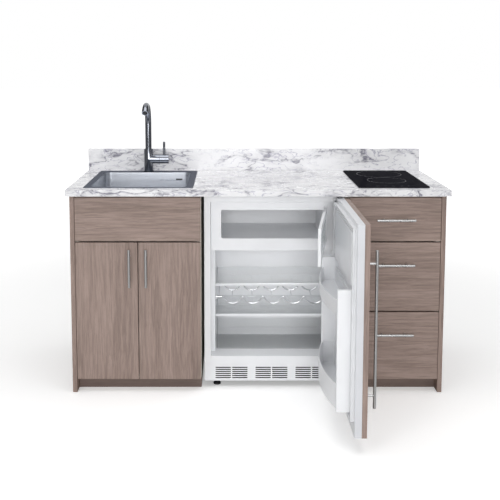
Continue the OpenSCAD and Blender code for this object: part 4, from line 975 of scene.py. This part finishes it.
class KITCHENETTE_OT_fridge_door(bpy.types.Operator):
    """Refrigerator door with its furniture panel, liner, gasket, bins and long pull"""

    bl_idname = "kitchenette.fridge_door"
    bl_label = "Refrigerator door"

    def execute(self, context):
        moulded = sizes().moulded_edge
        softened("fridge_door_panel", sizes().front_edge, "laminate")
        softened("fridge_door_case", sizes().fitting_edge, "white_enamel", "case_enamel", segments=2)
        softened("fridge_door_liner", moulded, "white_plastic")
        softened("fridge_door_bins", 1.1 * MM, "white_plastic")
        softened("fridge_door_pull", sizes().fitting_edge, "satin_steel", segments=2)
        self.gasket()
        return {"FINISHED"}

    def gasket(self):
        """Vinyl gasket with a flange, two pleats and the rounded magnet bulb."""
        node = "fridge_door_gasket"
        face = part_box(node)[1].x
        levels = [face - depth * MM for depth in (2.5, 4.2, 6.0, 7.7, 9.5)]
        bm = copied(node)
        for x in levels:
            geom = list(bm.verts) + list(bm.edges) + list(bm.faces)
            bmesh.ops.bisect_plane(bm, geom=geom, dist=WELD, plane_co=(x, 0, 0), plane_no=(1, 0, 0))
        bm.normal_update()
        pinched = [v for v in bm.verts if min(abs(v.co.x - x) for x in levels[1::2]) < 0.05 * MM]
        moves = [(v, v.normal * v.calc_shell_factor() * sizes().gasket_pleat) for v in pinched]
        for vert, move in moves:
            vert.co -= move
        round_edges(bm, 0.8 * MM, 2)
        place(bm, node + "_piece", body_of(node), "gasket_rubber", replaces=(node,))


class KITCHENETTE_OT_stage(bpy.types.Operator):
    """Floor, even light and the camera of the photograph"""

    bl_idname = "kitchenette.stage"
    bl_label = "Stage"

    def execute(self, context):
        stage = context.scene.kitchenette_stage
        scene = context.scene
        scene.view_settings.view_transform = "Standard"
        self.world(scene, stage)
        self.floor(stage)
        run = (0.0, -0.4, 0.5)
        self.lamp("key_lamp", (-2.6, -4.4, 3.4), stage.key, 1.8, run)
        self.lamp("fill_lamp", (3.0, -4.2, 2.2), stage.fill, 1.5, run)
        self.lamp("front_lamp", (-0.1, -9.0, 1.7), stage.front, 3.0, (0.05, -0.3, 0.45))
        self.lamp("top_lamp", (0.0, -0.9, 4.2), stage.above, 3.6, (0.0, -0.4, 0.6))
        below_freezer = (0.074, -0.40, 0.632)
        inner = self.lamp("refrigerator_lamp", below_freezer, stage.inside, 0.16, (0.074, -0.36, 0.2))
        inner.visible_camera = inner.visible_glossy = False
        data = bpy.data.cameras.new("photo_camera")
        camera = bpy.data.objects.new("photo_camera", data)
        scene.collection.objects.link(camera)
        data.sensor_width = 36.0
        data.lens = stage.focal_px / 500 * data.sensor_width
        data.shift_x, data.shift_y = stage.shift
        camera.location = stage.eye
        camera.rotation_euler = (math.radians(90) - stage.pitch, 0, 0)
        scene.camera = camera
        return {"FINISHED"}

    def world(self, scene, stage):
        """White room with darker screens at both sides, which only reflections show."""
        world = bpy.data.worlds.new("white_studio")
        scene.world = world
        world.use_nodes = True
        tree = world.node_tree
        sky = tree.nodes["Background"]
        sky.inputs["Color"].default_value = (1, 1, 1, 1)
        rays = tree.nodes.new("ShaderNodeLightPath")
        aim = tree.nodes.new("ShaderNodeSeparateXYZ")
        wire(tree, tree.nodes.new("ShaderNodeTexCoord").outputs["Generated"], aim.inputs[0])
        aside = maths(tree, "ABSOLUTE", aim.outputs["X"])
        opens, closes = ramp(tree, aside, 0.34, 0.50), ramp(tree, aside, 0.84, 0.96, 1.0, 0.0)
        screen = maths(tree, "MULTIPLY", opens, closes)
        mirrored = ramp(tree, screen, 0.0, 1.0, 1.0, stage.side_shade, smooth=False)
        seen = maths(tree, "MAXIMUM", rays.outputs["Is Camera Ray"], rays.outputs["Is Transmission Ray"])
        level = ramp(tree, seen, 0.0, 1.0, stage.sky, 1.0, smooth=False)
        gap = maths(tree, "SUBTRACT", mirrored, level)
        glossy = maths(tree, "MULTIPLY", gap, rays.outputs["Is Glossy Ray"])
        wire(tree, maths(tree, "ADD", level, glossy), sky.inputs["Strength"])

    def floor(self, stage):
        """Pale floor that shows white to the camera, the more so the further it lies from the object."""
        bm = bmesh.new()
        bmesh.ops.create_grid(bm, x_segments=1, y_segments=1, size=30)
        mesh = bpy.data.meshes.new("studio_floor")
        bm.to_mesh(mesh)
        bm.free()
        floor = bpy.data.objects.new("studio_floor", mesh)
        bpy.context.scene.collection.objects.link(floor)
        made = Finish("floor_white", roughness=0.9, Emission_Color=(1, 1, 1, 1))
        out = made.effect("surface", Haze_scale=0.6, Grain_scale=60.0)
        pale, paler = rgba([0.93] * 3), rgba([0.95] * 3)
        made.set("Base Color", blend_colour(made.tree, out["Haze"], pale, paler))
        rays = made.tree.nodes.new("ShaderNodeLightPath")
        reach = made.tree.nodes.new("ShaderNodeVectorMath")
        reach.operation = "LENGTH"
        wire(made.tree, made.vector, reach.inputs[0])
        glow = ramp(made.tree, reach.outputs["Value"], 1.0, 4.5, stage.floor_glow, 0.9)
        made.set("Emission Strength", maths(made.tree, "MULTIPLY", rays.outputs["Is Camera Ray"], glow))
        mesh.materials.append(made.material)

    def lamp(self, name, place_at, power, size, aim):
        data = bpy.data.lights.new(name, "AREA")
        data.energy, data.size, data.shape = power, size, "SQUARE"
        lamp = bpy.data.objects.new(name, data)
        bpy.context.scene.collection.objects.link(lamp)
        lamp.location = place_at
        lamp.rotation_euler = (Vector(aim) - Vector(place_at)).to_track_quat("-Z", "Y").to_euler()
        return lamp


PIECES = (
    KITCHENETTE_OT_worktop,
    KITCHENETTE_OT_units,
    KITCHENETTE_OT_sink,
    KITCHENETTE_OT_tap,
    KITCHENETTE_OT_hob,
    KITCHENETTE_OT_cabinet,
    KITCHENETTE_OT_interior,
    KITCHENETTE_OT_fridge_door,
    KITCHENETTE_OT_stage,
)


class KITCHENETTE_PT_panel(bpy.types.Panel):
    """Lists the pieces, their sizes and their colours"""

    bl_idname = "KITCHENETTE_PT_panel"
    bl_label = "Kitchenette"
    bl_space_type = "VIEW_3D"
    bl_region_type = "UI"
    bl_category = "Kitchenette"

    def draw(self, context):
        for piece in PIECES:
            self.layout.operator(piece.bl_idname)
        for name in GROUPS:
            values = getattr(context.scene, name)
            box = self.layout.box()
            for label in values.__annotations__:
                box.prop(values, label)


def register():
    for item in (*GROUPS.values(), *PIECES, KITCHENETTE_PT_panel):
        bpy.utils.register_class(item)
    for name, item in GROUPS.items():
        setattr(bpy.types.Scene, name, PointerProperty(type=item))


def unregister():
    for name in GROUPS:
        delattr(bpy.types.Scene, name)
    for item in reversed((*GROUPS.values(), *PIECES, KITCHENETTE_PT_panel)):
        bpy.utils.unregister_class(item)


def main():
    """Makes every piece."""
    register()
    build_finishes()
    for piece in PIECES:
        group, name = piece.bl_idname.split(".")
        getattr(getattr(bpy.ops, group), name)()


if __name__ == "__main__":
    main()
